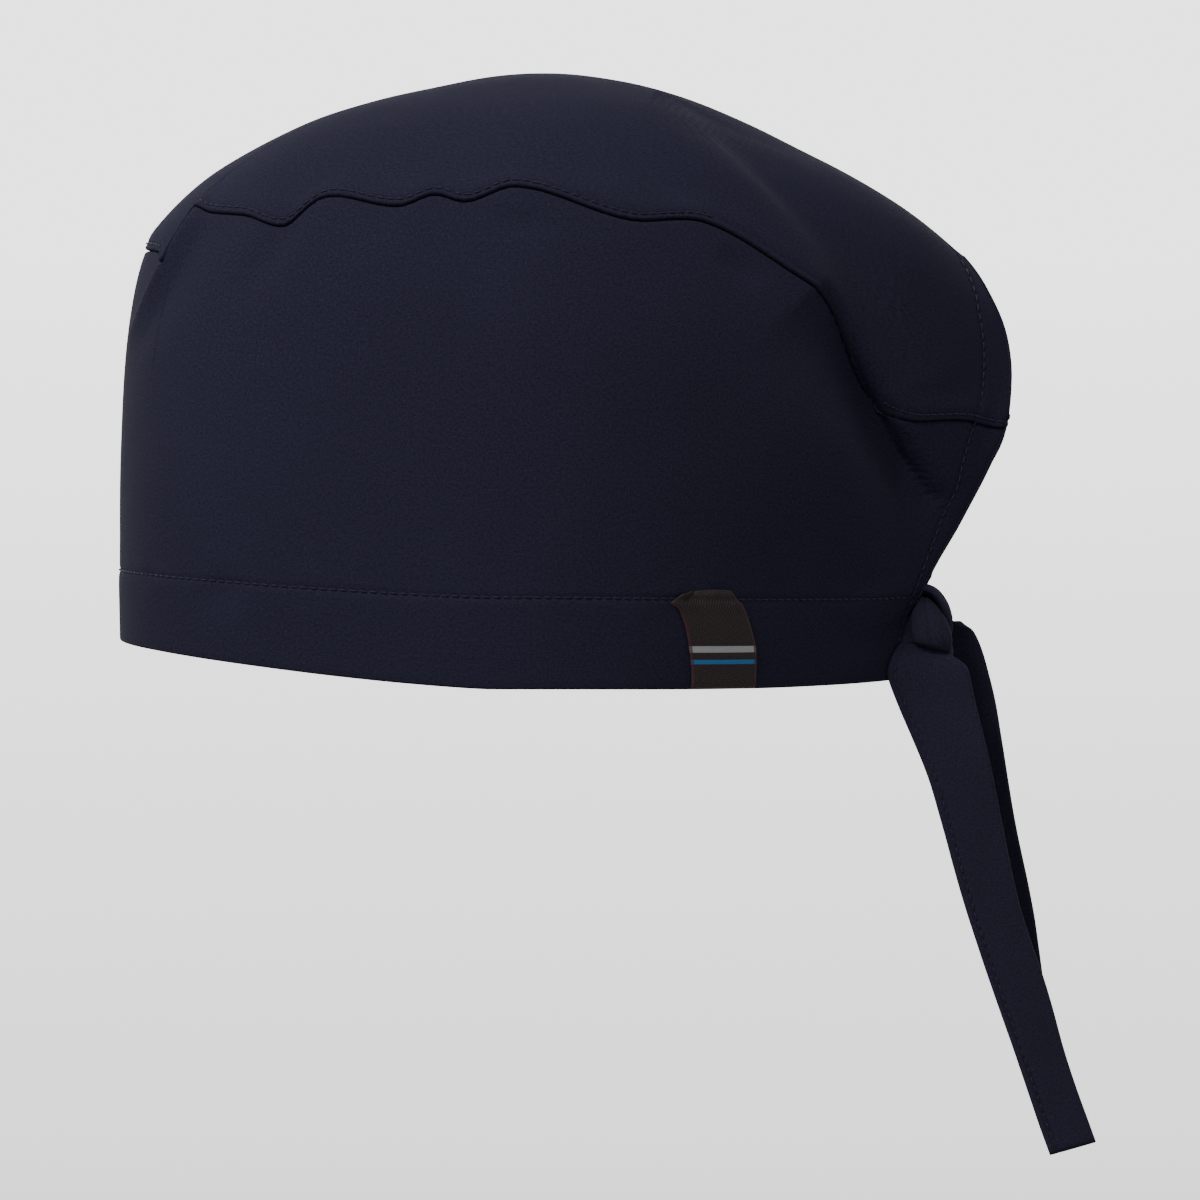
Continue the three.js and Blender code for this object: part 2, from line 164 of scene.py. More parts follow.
def cloth_frame(turn, up):
    """Point, outward normal, and millimetres of cloth per degree of turn and per unit of up."""
    turn, up = np.broadcast_arrays(np.asarray(turn, float), np.asarray(up, float))
    e, f = 0.5, 0.004
    t0, t1 = np.clip(turn - e, -180, 180), np.clip(turn + e, -180, 180)
    u1, u0 = np.minimum(up + f, 2.0), np.minimum(up + f, 2.0) - 2 * f
    along = base_point(t1, up) - base_point(t0, up)
    rise = base_point(turn, u1) - base_point(turn, u0)
    normal = np.cross(along, rise)
    point = base_point(turn, up)
    closed = (np.abs(point[..., 0]) < 1e-6) | (np.abs(turn) < 1e-6)
    normal[..., 0] = np.where(closed, 0.0, normal[..., 0])
    normal = unit(normal)
    normal[up > 1.995] = (0.0, 0.0, 1.0)
    per_turn = np.linalg.norm(along, axis=-1) / np.maximum(t1 - t0, 1e-9)
    per_up = np.linalg.norm(rise, axis=-1) / (2 * f)
    return point, normal, per_turn, per_up


def fold_moves(point):
    """All the creases over points of the cap: their height, and how far they lap along Y and Z."""
    y, z = point[..., 1], point[..., 2]
    left = point[..., 0] >= 0
    total, lapped = np.zeros(y.shape), np.zeros(y.shape + (2,))
    s = np.linspace(0, 1, 49)
    for start, bend, end, before, behind, height, lap, on_left, on_right in FOLDS:
        start, bend, end = (np.array(p, float) for p in (start, bend, end))
        line = ((1 - s)**2)[:, None] * start + (2 * s * (1 - s))[:, None] * bend + (s**2)[:, None] * end
        heading = unit(np.gradient(line, axis=0))
        reach = 3 * max(before, behind, 3 * abs(lap))
        lo, hi = line.min(0) - reach, line.max(0) + reach
        near = (y > lo[0]) & (y < hi[0]) & (z > lo[1]) & (z < hi[1])
        if not near.any():
            continue
        dy = y[near][:, None] - line[:, 0]
        dz = z[near][:, None] - line[:, 1]
        j = np.hypot(dy, dz).argmin(1)
        rows = np.arange(len(j))
        away = heading[j, 0] * dz[rows, j] - heading[j, 1] * dy[rows, j]
        past = heading[j, 0] * dy[rows, j] + heading[j, 1] * dz[rows, j]
        width = np.where(away > 0, behind, before)
        share = np.where(left[near], on_left, on_right) * np.sin(np.pi * s[j])
        total[near] += height * share * np.exp(-(away / width) ** 2 - (past / width) ** 2)
        if lap:
            over = np.maximum(away * np.sign(lap), 0.0)
            amount = lap * share * (1 - np.exp(-(over / 1.3) ** 2)) * np.exp(-(over / (3 * abs(lap))) ** 2)
            lapped[near] += amount[:, None] * np.stack([heading[j, 1], -heading[j, 0]], -1)
    from_middle = np.abs(point[..., 0])
    fade = np.clip(np.where(y > 0, (from_middle - 2) / 18, (from_middle - 8) / 16), 0, 1)
    fade = fade * fade * (3 - 2 * fade)
    return total * fade, lapped * fade[..., None]


def soft_noise(points, size, seed):
    """Smooth pseudo-random values from -1 to 1 that change over about size millimetres."""
    rng = np.random.default_rng(seed)
    total = np.zeros(points.shape[:-1])
    for _ in range(9):
        direction = unit(rng.normal(size=3))
        total += np.sin(points @ direction * (2 * math.pi / (size * rng.uniform(0.8, 1.7)))
                        + rng.uniform(0, 2 * math.pi))
    return total / 4.5


def seam_up(turn):
    """How far up the sections the crown seam lies at a turn."""
    return spline_columns(SEAM, np.abs(turn))[..., 0]


def cloth_relief(point, turn, seam_distance, hem_distance, edge_distance):
    """Small relief of the sewn cloth: seam puckers, the hems' plies and their stitch lines.
    The distances are from the seam, the hem stitches and the slit stitches, in millimetres."""
    pucker = soft_noise(np.stack([turn * 1.3, turn * 0, turn * 0], -1), 13.0, 4)
    relief = 0.35 * pucker * np.exp(-(seam_distance / 9.0) ** 2)
    relief += 0.12 * soft_noise(point, 9.0, 7) * np.exp(-(hem_distance / 6.0) ** 2)
    relief += 0.45 * soft_noise(point, 75.0, 2)
    relief += 0.10 * soft_noise(point, 24.0, 3)
    # The turned-up ply fills the hem out a little; the stitches pull a shallow line along it.
    relief += 0.22 / (1 + np.exp(np.clip(hem_distance / 0.7, -40, 40)))
    relief -= 0.30 * np.exp(-(hem_distance / 0.9) ** 2)
    relief += 0.20 / (1 + np.exp(np.clip(edge_distance / 0.7, -40, 40)))
    relief -= 0.26 * np.exp(-(edge_distance / 0.9) ** 2)
    return relief


def slit_distance(turn, up):
    """Millimetres of cloth from the nearer slit edge, along a section."""
    knots = np.concatenate([np.linspace(120, 170, 26), np.linspace(171, 180, 28)])
    levels = np.linspace(0, 2, 61)
    pts = base_point(knots[None, :], levels[:, None])
    steps = np.linalg.norm(np.diff(pts, axis=1), axis=-1)
    run = np.concatenate([np.cumsum(steps[:, ::-1], axis=1)[:, ::-1], np.zeros((len(levels), 1))], axis=1)
    a = np.clip(np.abs(turn), 120, 180)
    lv = np.clip(np.asarray(up, float), 0, 2) / 2 * 60
    i = np.clip(lv.astype(int), 0, 59)
    w = lv - i
    flat_a, flat_i, flat_w = np.broadcast_arrays(a, i, w)
    col = np.interp(flat_a, knots, np.arange(len(knots)))
    c = np.clip(col.astype(int), 0, len(knots) - 2)
    v = col - c
    at = lambda r: run[r, c] * (1 - v) + run[r, c + 1] * v
    out = at(flat_i) * (1 - flat_w) + at(flat_i + 1) * flat_w
    return np.where(np.abs(turn) <= 120, FAR, out)


def turn_at_slit_distance(distance, up):
    """Turn (left side) that lies the given millimetres of cloth in from the slit edge."""
    fine = 180 - np.linspace(0, 1, 400) ** 2 * 50
    distance, up = np.broadcast_arrays(np.asarray(distance, float), np.asarray(up, float))
    out = np.empty(distance.shape)
    for idx in np.ndindex(distance.shape[:1]):
        u = up[idx]
        level = u if np.ndim(u) == 0 else u.flat[0]
        pts = base_point(fine, np.full_like(fine, level))
        run = np.concatenate([[0], np.cumsum(np.linalg.norm(np.diff(pts, axis=0), axis=-1))])
        out[idx] = np.interp(distance[idx], run, fine)
    return out


def cap_surface(turn, up, lift=0.0):
    """The finished cloth's outer face, folds and relief included, and its normal."""
    turn, up = np.broadcast_arrays(np.asarray(turn, float), np.asarray(up, float))
    point, normal, _, per_up = cloth_frame(turn, up)
    seam_distance = (up - seam_up(turn)) * per_up
    hem_distance = (up - HEM_UP) * per_up
    inset = np.interp(up, SLIT_STITCH[:, 0], SLIT_STITCH[:, 1])
    edge_distance = np.where(up < SLIT_TOP_UP, slit_distance(turn, up) - inset, FAR)
    folds, lapped = fold_moves(point)
    height = folds + cloth_relief(point, turn, seam_distance, hem_distance, edge_distance)
    moved = point + normal * (height + lift)[..., None]
    moved[..., 1:] += lapped
    return moved, normal


# ---------------------------------------------------------------- meshes
def link_mesh(name, verts, faces, uvs=None):
    """A smooth-shaded object from millimetre points; uvs are per vertex, in metres."""
    mesh = bpy.data.meshes.new(name)
    mesh.from_pydata((np.asarray(verts) * MM).tolist(), [], [tuple(f) for f in faces])
    if uvs is not None:
        layer = mesh.uv_layers.new(name="cloth")
        loops = np.empty(len(mesh.loops), dtype=np.int32)
        mesh.loops.foreach_get("vertex_index", loops)
        layer.data.foreach_set("uv", np.asarray(uvs, np.float32)[loops].ravel())
    mesh.shade_smooth()
    obj = bpy.data.objects.new(name, mesh)
    bpy.context.scene.collection.objects.link(obj)
    return obj


def grid_object(name, points, uvs, flip=False, wrap=False, weld=True):
    """An object from a grid of points (rows, columns, 3), open or closed round its columns."""
    rows, cols = points.shape[:2]
    index = np.arange(rows * cols).reshape(rows, cols)
    if wrap:
        index = np.concatenate([index, index[:, :1]], axis=1)
    a, b = index[:-1, :-1], index[:-1, 1:]
    c, d = index[1:, 1:], index[1:, :-1]
    quads = np.stack([a, b, c, d], -1).reshape(-1, 4)
    if flip:
        quads = quads[:, ::-1]
    obj = link_mesh(name, points.reshape(-1, 3), quads, uvs.reshape(-1, 2))
    if weld:
        bm = bmesh.new()
        bm.from_mesh(obj.data)
        bmesh.ops.remove_doubles(bm, verts=bm.verts, dist=2e-6)
        bmesh.ops.dissolve_degenerate(bm, dist=1e-7, edges=bm.edges)
        bm.to_mesh(obj.data)
        bm.free()
        obj.data.shade_smooth()
    return obj


def thicken(obj, thickness):
    """Give a sheet its ply, inwards from the modelled face."""
    solid = obj.modifiers.new("ply", "SOLIDIFY")
    solid.thickness = thickness
    solid.offset = -1.0


def finish_piece(obj, material, nodes=()):
    """Give a piece its material and body, and hide the CAD nodes that it stands for."""
    obj.data.materials.append(material)
    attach(obj, BODY)
    if nodes:
        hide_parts(*nodes)
    return obj


def model_stitch(radius, length):
    """One stitch, modelled along X: it comes up out of the cloth, lies over it and dives back.
    Returns its points and faces in millimetres."""
    # Columns: share of the length, how proud of the cloth, share of the thread's full thickness.
    rings = [(0.10, 0.15, 0.9), (0.30, 0.75, 1.0), (0.70, 0.75, 1.0), (0.90, 0.15, 0.9), (1.0, -1.0, 0.55)]
    bpy.ops.object.select_all(action="DESELECT")
    bpy.ops.mesh.primitive_circle_add(vertices=6, radius=radius * 0.55, fill_type="NGON",
                                      location=(0, 0, -radius), rotation=(0, math.pi / 2, 0))
    stitch = bpy.context.object
    bpy.ops.object.transform_apply(location=True, rotation=True, scale=True)
    bpy.ops.object.mode_set(mode="EDIT")
    bpy.ops.mesh.select_all(action="SELECT")
    at, proud, share = 0.0, -1.0, 0.55
    for next_at, next_proud, next_share in rings:
        step = ((next_at - at) * length, 0, (next_proud - proud) * radius)
        bpy.ops.mesh.extrude_region_move(TRANSFORM_OT_translate={"value": step})
        grow = next_share / share
        bpy.ops.transform.resize(value=(grow, grow, grow),
                                 center_override=(next_at * length, 0, next_proud * radius))
        at, proud, share = next_at, next_proud, next_share
    bpy.ops.mesh.select_all(action="SELECT")
    bpy.ops.mesh.normals_make_consistent(inside=False)
    bpy.ops.object.mode_set(mode="OBJECT")
    points = np.array([v.co[:] for v in stitch.data.vertices])
    faces = [tuple(f.vertices) for f in stitch.data.polygons]
    bpy.data.meshes.remove(stitch.data)
    return points, faces


def thread_run(name, stitches, material, radius):
    """Copies of the modelled stitch along a seam. stitches: ends (count, 2, 3), normals (count, 3)."""
    ends, normals = stitches
    length = np.linalg.norm(ends[:, 1] - ends[:, 0], axis=-1)
    shape, faces = model_stitch(radius, 1.0)
    along = unit(ends[:, 1] - ends[:, 0])
    across = unit(np.cross(normals, along))
    up = np.cross(along, across)
    verts = (ends[:, :1] + along[:, None] * (shape[:, 0] * length[:, None])[..., None]
             + across[:, None] * shape[:, 1][None, :, None] + up[:, None] * shape[:, 2][None, :, None])
    all_faces = [tuple(v + i * len(shape) for v in face) for i in range(len(ends)) for face in faces]
    verts = verts.reshape(-1, 3)
    obj = link_mesh(name, verts, all_faces, verts[:, 1:] * MM)
    return finish_piece(obj, material)


def stitches_along(path, normals, pitch, stitch_length, lift, slant=0.0):
    """Stitch ends spaced evenly along a path that lies on the cloth."""
    run = np.concatenate([[0], np.cumsum(np.linalg.norm(np.diff(path, axis=0), axis=-1))])
    count = int(run[-1] / pitch)
    first = (np.arange(count) + 0.15) * pitch
    at = lambda s, table: np.stack([np.interp(s, run, table[:, c]) for c in range(3)], -1)
    normal = unit(at(first + stitch_length / 2, normals))
    a, b = at(first, path), at(first + stitch_length, path)
    sideways = unit(np.cross(normal, b - a))
    a = a + normal * lift + sideways * slant
    b = b + normal * lift - sideways * slant
    return np.stack([a, b], 1), normal


# ---------------------------------------------------------------- materials
def srgb(code):
    """Linear RGBA from an sRGB hex string."""
    parts = [int(code[i:i + 2], 16) / 255 for i in (1, 3, 5)]
    return [p / 12.92 if p <= 0.04045 else ((p + 0.055) / 1.055) ** 2.4 for p in parts] + [1.0]


def node(tree, kind, settings=None, links=None):
    """Add a node, set its properties and inputs, and link other sockets into it."""
    made = tree.nodes.new(kind)
    for key, value in (settings or {}).items():
        if isinstance(key, str) and hasattr(made, key):
            setattr(made, key, value)
        else:
            made.inputs[key].default_value = value
    for key, socket in (links or {}).items():
        tree.links.new(socket, made.inputs[key])
    return made


def blank_material(name):
    """A new material and its empty node tree."""
    made = bpy.data.materials.new(name)
    made.use_nodes = True
    made.node_tree.nodes.clear()
    return made, made.node_tree


def woven_cotton(name, colour, dark, thread_mm):
    """Dyed plain-woven poly-cotton: quite matt, a dry fine grain of crossing threads, and here and
    there a thicker thread. It has next to no highlight, and its navy is a little uneven."""
    material, tree = blank_material(name)
    uv = node(tree, "ShaderNodeUVMap", {"uv_map": "cloth"})
    place = node(tree, "ShaderNodeTexCoord")
    # The real threads lie about 0.3 mm apart; they are drawn coarser, at thread_mm, so that they show.
    rate = 1.0 / (thread_mm * MM)

    def threads(across, along, detail):
        """Noise drawn out along one thread direction."""
        scaled = node(tree, "ShaderNodeMapping", {"Scale": (rate * across, rate * along, 1)},
                      {"Vector": uv.outputs["UV"]})
        return node(tree, "ShaderNodeTexNoise", {"Scale": 1.0, "Detail": detail, "Roughness": 0.4},
                    {"Vector": scaled.outputs["Vector"]}).outputs["Fac"]

    weave = node(tree, "ShaderNodeMath", {"operation": "ADD"},
                 {0: threads(1.0, 0.5, 0.0), 1: threads(0.5, 1.0, 0.0)})
    grain = node(tree, "ShaderNodeMapRange", {"From Min": 0.55, "From Max": 1.45},
                 {"Value": weave.outputs["Value"]})
    # Thicker threads, 10 to 20 mm long, lift the tone a little along the weft.
    slub = node(tree, "ShaderNodeMapRange",
                {"From Min": 0.62, "From Max": 0.80, "To Min": 0.0, "To Max": 0.14},
                {"Value": threads(0.03, 0.9, 0.0)})
    # Slow change of tone over about 60 mm, as dyed cloth has.
    wash = node(tree, "ShaderNodeTexNoise", {"Scale": 16.0, "Detail": 2.0, "Roughness": 0.5},
                {"Vector": place.outputs["Object"]})
    tone = node(tree, "ShaderNodeMapRange",
                {"From Min": 0.3, "From Max": 0.7, "To Min": -0.10, "To Max": 0.10},
                {"Value": wash.outputs["Fac"]})
    uneven = node(tree, "ShaderNodeMath", {"operation": "ADD"},
                  {0: slub.outputs["Result"], 1: tone.outputs["Result"]})
    mixed = node(tree, "ShaderNodeMath", {"operation": "ADD", "use_clamp": True},
                 {0: grain.outputs["Result"], 1: uneven.outputs["Value"]})
    tint = node(tree, "ShaderNodeMix", {"data_type": "RGBA", 6: srgb(dark), 7: srgb(colour)},
                {0: mixed.outputs["Value"]})
    relief = node(tree, "ShaderNodeBump", {"Strength": 0.30, "Distance": 0.00015},
                  {"Height": weave.outputs["Value"]})
    shader = node(tree, "ShaderNodeBsdfPrincipled",
                  {"Roughness": 0.95, "IOR": 1.5, "Specular IOR Level": 0.04,
                   "Sheen Weight": 0.004, "Sheen Roughness": 0.5},
                  {"Base Color": tint.outputs[2], "Normal": relief.outputs["Normal"]})
    node(tree, "ShaderNodeOutputMaterial", None, {"Surface": shader.outputs["BSDF"]})
    return material


def spun_thread(name, colour):
    """Polyester sewing thread: a slightly shinier twisted yarn in the cloth's own navy."""
    material, tree = blank_material(name)
    place = node(tree, "ShaderNodeTexCoord")
    # Twist of about 0.5 mm along the yarn.
    twist = node(tree, "ShaderNodeTexNoise", {"Scale": 2200.0, "Detail": 1.0},
                 {"Vector": place.outputs["Object"]})
    ramp = node(tree, "ShaderNodeMapRange",
                {"From Min": 0.3, "From Max": 0.7, "To Min": 0.75, "To Max": 1.2},
                {"Value": twist.outputs["Fac"]})
    tint = node(tree, "ShaderNodeMix",
                {"data_type": "RGBA", "blend_type": "MULTIPLY", 0: 1.0, 6: srgb(colour)},
                {7: ramp.outputs["Result"]})
    shader = node(tree, "ShaderNodeBsdfPrincipled",
                  {"Roughness": 0.6, "IOR": 1.5, "Specular IOR Level": 0.15},
                  {"Base Color": tint.outputs[2]})
    node(tree, "ShaderNodeOutputMaterial", None, {"Surface": shader.outputs["BSDF"]})
    return material


def woven_tag_polyester(name, brown, warm, edge, pale, blue):
    """Close twill-woven polyester tag: fine diagonal ribs with a slight gloss, reddish selvedges and
    two plain woven stripes."""
    material, tree = blank_material(name)
    uv = node(tree, "ShaderNodeUVMap", {"uv_map": "cloth"})
    # A wave node turns once in 2 pi / (20 x scale); ribs 0.4 mm apart are drawn 0.6 mm apart.
    rib_scale = 2 * math.pi / (20 * 0.6 * MM)
    turned = node(tree, "ShaderNodeMapping", {"Rotation": (0, 0, math.radians(38))},
                  {"Vector": uv.outputs["UV"]})
    ribs = node(tree, "ShaderNodeTexWave", {"wave_type": "BANDS", "bands_direction": "X", "Scale": rib_scale,
                                            "Distortion": 0.6, "Detail": 1.0, "Detail Scale": 2.0},
                {"Vector": turned.outputs["Vector"]})
    speck = node(tree, "ShaderNodeTexNoise", {"Scale": 1600.0, "Detail": 1.0}, {"Vector": uv.outputs["UV"]})
    split = node(tree, "ShaderNodeSeparateXYZ", None, {"Vector": uv.outputs["UV"]})
    weave = node(tree, "ShaderNodeMath", {"operation": "MULTIPLY"},
                 {0: ribs.outputs["Fac"], 1: speck.outputs["Fac"]})
    shade = node(tree, "ShaderNodeMapRange", {"From Min": 0.0, "From Max": 0.6},
                 {"Value": weave.outputs["Value"]})
    last = node(tree, "ShaderNodeMix", {"data_type": "RGBA", 6: srgb(brown), 7: srgb(warm)},
                {0: shade.outputs["Result"]})
    # Columns: axis across or along the tag, place, half-width, colour; all in metres of tag.
    bands = [("Y", 0.0175, 0.0009, pale), ("Y", 0.0140, 0.0006, blue),
             ("X", 0.0, 0.0007, edge), ("X", TAG_WIDTH, 0.0007, edge)]
    for axis, centre, half, colour in bands:
        inside = node(tree, "ShaderNodeMath", {"operation": "COMPARE", 1: centre, 2: half},
                      {0: split.outputs[axis]})
        part = node(tree, "ShaderNodeMath", {"operation": "MULTIPLY", 1: 0.8}, {0: inside.outputs["Value"]})
        last = node(tree, "ShaderNodeMix", {"data_type": "RGBA", 7: srgb(colour)},
                    {0: part.outputs["Value"], 6: last.outputs[2]})
    relief = node(tree, "ShaderNodeBump", {"Strength": 0.5, "Distance": 0.0002},
                  {"Height": weave.outputs["Value"]})
    shader = node(tree, "ShaderNodeBsdfPrincipled",
                  {"Roughness": 0.65, "IOR": 1.5, "Specular IOR Level": 0.12},
                  {"Base Color": last.outputs[2], "Normal": relief.outputs["Normal"]})
    node(tree, "ShaderNodeOutputMaterial", None, {"Surface": shader.outputs["BSDF"]})
    return material


def studio_paper(name, colour, glow_low, glow_high):
    """Seamless matt studio paper: a pale surface of even colour with no shine. Its emission is painted light,
    a glow brighter on the far side behind the cap and higher up.
    """
    material = bpy.data.materials.new(name)
    material.use_nodes = True
    tree = material.node_tree
    shader = tree.nodes["Principled BSDF"]
    shader.inputs["Base Color"].default_value = srgb(colour)
    shader.inputs["Roughness"].default_value = 1.0
    shader.inputs["Specular IOR Level"].default_value = 0.05
    place = node(tree, "ShaderNodeTexCoord")
    split = node(tree, "ShaderNodeSeparateXYZ", None, {"Vector": place.outputs["Object"]})
    # Painted light: the paper glows more the farther it lies towards -X behind the cap and the higher it
    # stands, and stays dim behind the camera.
    far = node(tree, "ShaderNodeMapRange",
               {"From Min": 0.6, "From Max": -2.4, "To Min": glow_low, "To Max": glow_high},
               {"Value": split.outputs["X"]})
    high = node(tree, "ShaderNodeMapRange",
                {"From Min": -0.5, "From Max": 0.3, "To Min": 0.55, "To Max": 1.0},
                {"Value": split.outputs["Z"]})
    glow = node(tree, "ShaderNodeMath", {"operation": "MULTIPLY"},
                {0: far.outputs["Result"], 1: high.outputs["Result"]})
    shader.inputs["Emission Color"].default_value = (1, 1, 1, 1)
    tree.links.new(glow.outputs["Value"], shader.inputs["Emission Strength"])
    return material


MATERIALS = {}


def material(key):
    """The cap's materials, each made once."""
    if key not in MATERIALS:
        cloth = bpy.context.scene.cap_cloth
        makers = {
            "cloth": lambda: woven_cotton("navy_woven_cotton", to_hex(cloth.colour),
                                          to_hex(cloth.dark_colour), cloth.thread_spacing / MM),
            "tie": lambda: woven_cotton("navy_tie_cotton", "#22202f", "#181621", cloth.thread_spacing / MM),
            "thread": lambda: spun_thread("navy_sewing_thread", to_hex(cloth.thread_colour)),
            "tag": lambda: woven_tag_polyester("brown_woven_tag", "#171213", "#322a2b", "#331e22",
                                               "#87868a", "#1f5c8c"),
        }
        MATERIALS[key] = makers[key]()
    return MATERIALS[key]


def to_hex(linear):
    """sRGB hex string of a linear colour property."""
    parts = [p * 12.92 if p <= 0.0031308 else 1.055 * p ** (1 / 2.4) - 0.055 for p in linear[:3]]
    return "#" + "".join(f"{round(255 * min(max(p, 0), 1)):02x}" for p in parts)


# ---------------------------------------------------------------- settings
class CapClothSettings(PropertyGroup):
    """Cloth of the cap."""
    colour: FloatVectorProperty(name="Cloth colour", description="Navy of the threads that catch the light",
                                subtype="COLOR", size=3, min=0, max=1, default=srgb("#201f2e")[:3])
    dark_colour: FloatVectorProperty(name="Cloth shade", description="Navy between the threads",
                                     subtype="COLOR", size=3, min=0, max=1, default=srgb("#161520")[:3])
    thread_colour: FloatVectorProperty(name="Thread colour", description="Sewing thread",
                                       subtype="COLOR", size=3, min=0, max=1, default=srgb("#1b1a29")[:3])
    thickness: FloatProperty(name="Cloth thickness", description="Thickness of one ply of cloth",
                             unit="LENGTH", default=0.0005, min=0.0002, max=0.002)
    thread_spacing: FloatProperty(name="Thread spacing", description="Drawn distance between the threads",
                                  unit="LENGTH", default=0.00042, min=0.0002, max=0.003)


class CapStitchSettings(PropertyGroup):
    """Topstitching of the cap and its ties."""
    pitch: FloatProperty(name="Stitch pitch", description="Distance from one stitch to the next",
                         unit="LENGTH", default=0.0027, min=0.001, max=0.006)
    length: FloatProperty(name="Stitch length", description="Visible length of one stitch",
                          unit="LENGTH", default=0.0021, min=0.0005, max=0.005)
    radius: FloatProperty(name="Thread radius", description="Half the thickness of the thread",
                          unit="LENGTH", default=0.00019, min=0.00005, max=0.0006)
    seam_inset: FloatProperty(name="Seam stitch inset", description="Crown topstitch, above the seam",
                              unit="LENGTH", default=0.0017, min=0.0005, max=0.006)


class CapTieSettings(PropertyGroup):
    """Ties."""
    thickness: FloatProperty(name="Tie thickness", description="Thickness of the folded flat tie",
                             unit="LENGTH", default=0.0013, min=0.0005, max=0.004)
    stitch_inset: FloatProperty(name="Tie stitch inset", description="Edge stitch, in from the leading edge",
                                unit="LENGTH", default=0.0014, min=0.0005, max=0.006)


class CapStageSettings(PropertyGroup):
    """Camera, floor and studio paper."""
    azimuth: FloatProperty(name="Azimuth", description="Camera direction round the cap",
                           subtype="ANGLE", default=math.radians(90))
    elevation: FloatProperty(name="Elevation", description="Camera height over the horizon",
                             subtype="ANGLE", default=math.radians(1))
    distance: FloatProperty(name="Distance", description="Camera distance from the middle of the cap",
                            unit="LENGTH", default=1.2, min=0.3, max=5)
    view_width: FloatProperty(name="View width", description="Width of the view at the middle of the cap",
                              unit="LENGTH", default=0.336, min=0.1, max=2)
    aim: FloatVectorProperty(name="Aim", description="Point that the camera looks at",
                             subtype="TRANSLATION", size=3, default=(0.0, 0.0224, 0.0))
    floor_drop: FloatProperty(name="Floor drop", description="Floor below the rim of the cap",
                              unit="LENGTH", default=0.5, min=0.2, max=2)
    paper_colour: FloatVectorProperty(name="Paper colour", description="Studio paper of floor and backdrop",
                                      subtype="COLOR", size=3, min=0, max=1, default=srgb("#7c7c7c")[:3])


# ---------------------------------------------------------------- stage
LIGHTS_AIM = (0.0, 0.01, 0.05)
# Columns: name, place, size, watts.
LIGHTS = [
    ("key_softbox", (1.41, -1.10, 1.61), 1.1, 88.0),
    ("fill_softbox", (1.5, 0.9, 0.3), 1.0, 4.5),
    ("top_softbox", (0.1, 0.0, 2.2), 1.4, 13.0),
    ("back_softbox", (-1.5, 1.3, 1.0), 1.2, 9.0),
]
WORLD_COLOUR = "#f2f3f5"
WORLD_STRENGTH = 0.15
# Painted light: emission strengths of the paper's glow, low and high.
PAPER_PAINTED_GLOW = (0.22, 2.5)       # behind the camera and behind the cap
PAPER_FLOOR_RADIUS = 2.2       # metres of level floor round the cap
PAPER_SWEEP_RADIUS = 1.2       # the curve from floor to wall
PAPER_WALL_HEIGHTS = (2.2, 3.6)


def look_along(obj, direction):
    """Turn a camera or a lamp so that it looks along a direction."""
    obj.rotation_mode = "QUATERNION"
    obj.rotation_quaternion = direction.to_track_quat("-Z", "Y")


def set_camera(scene, stage):
    """The camera, on its direction from the aim, as wide as the view asks."""
    a, e = stage.azimuth, stage.elevation
    back = Vector((math.sin(a) * math.cos(e), -math.cos(a) * math.cos(e), math.sin(e)))
    camera = bpy.data.objects.new("camera", bpy.data.cameras.new("camera"))
    scene.collection.objects.link(camera)
    camera.location = Vector(stage.aim) + back * stage.distance
    look_along(camera, -back)
    camera.data.sensor_width = 36.0
    camera.data.lens = camera.data.sensor_width * stage.distance / stage.view_width
    camera.data.clip_start, camera.data.clip_end = 0.05, 40.0
    scene.camera = camera


def set_paper(stage):
    """One round sweep of paper: a floor that curves up into a wall on every side."""
    floor, sweep = PAPER_FLOOR_RADIUS, PAPER_SWEEP_RADIUS
    profile = [(radius, 0.0) for radius in (0.0, 0.6, 1.4, floor)]
    profile += [(floor + sweep * math.sin(t), sweep - sweep * math.cos(t))
                for t in np.linspace(0.12, math.pi / 2, 14)]
    profile += [(floor + sweep, height) for height in PAPER_WALL_HEIGHTS]
    turns = np.radians(np.arange(0, 360, 5))
    rings = np.array([[(r * math.cos(t), r * math.sin(t), h) for t in turns] for r, h in profile])
    points = rings / MM - np.array((0, 0, stage.floor_drop / MM))
    paper = grid_object("studio_paper", points, np.zeros(points.shape[:2] + (2,)), wrap=True)
    finish = studio_paper("seamless_studio_paper", to_hex(stage.paper_colour), *PAPER_PAINTED_GLOW)
    paper.data.materials.append(finish)


def set_lights(scene):
    """Round softboxes that face the cap, and a faint even light from all round."""
    for name, place, size, watts in LIGHTS:
        light = bpy.data.lights.new(name, "AREA")
        light.shape, light.size, light.energy = "DISK", size, watts
        lamp = bpy.data.objects.new(name, light)
        scene.collection.objects.link(lamp)
        lamp.location = place
        look_along(lamp, Vector(LIGHTS_AIM) - lamp.location)
    world = bpy.data.worlds.new("studio")
    world.use_nodes = True
    sky = world.node_tree.nodes["Background"].inputs
    sky["Color"].default_value = srgb(WORLD_COLOUR)
    sky["Strength"].default_value = WORLD_STRENGTH
    scene.world = world


class CAP_OT_stage(Operator):
    """Camera, seamless paper and soft studio lights"""
    bl_idname = "scrub_cap.stage"
    bl_label = "Stage"

    def execute(self, context):
        set_camera(context.scene, context.scene.cap_stage)
        set_paper(context.scene.cap_stage)
        set_lights(context.scene)
        return {"FINISHED"}


# ---------------------------------------------------------------- the cap's cloth
# Mesh columns round the cap, closer where the cloth is creased. Columns: from, to, degrees each.
COLUMN_STEPS = [
    (-180, -165, 1.0), (-165, -110, 0.9), (-110, -40, 1.6), (-40, -12, 1.0), (-12, 12, 1.2),
    (12, 40, 0.5), (40, 110, 1.3), (110, 165, 0.48), (165, 180, 0.8),
]


def column_turns():
    """Turns of the mesh columns, from the right slit edge round the forehead to the left one."""
    runs = [np.arange(start, end - step / 2, step) for start, end, step in COLUMN_STEPS]
    return np.concatenate(runs + [[180.0]])


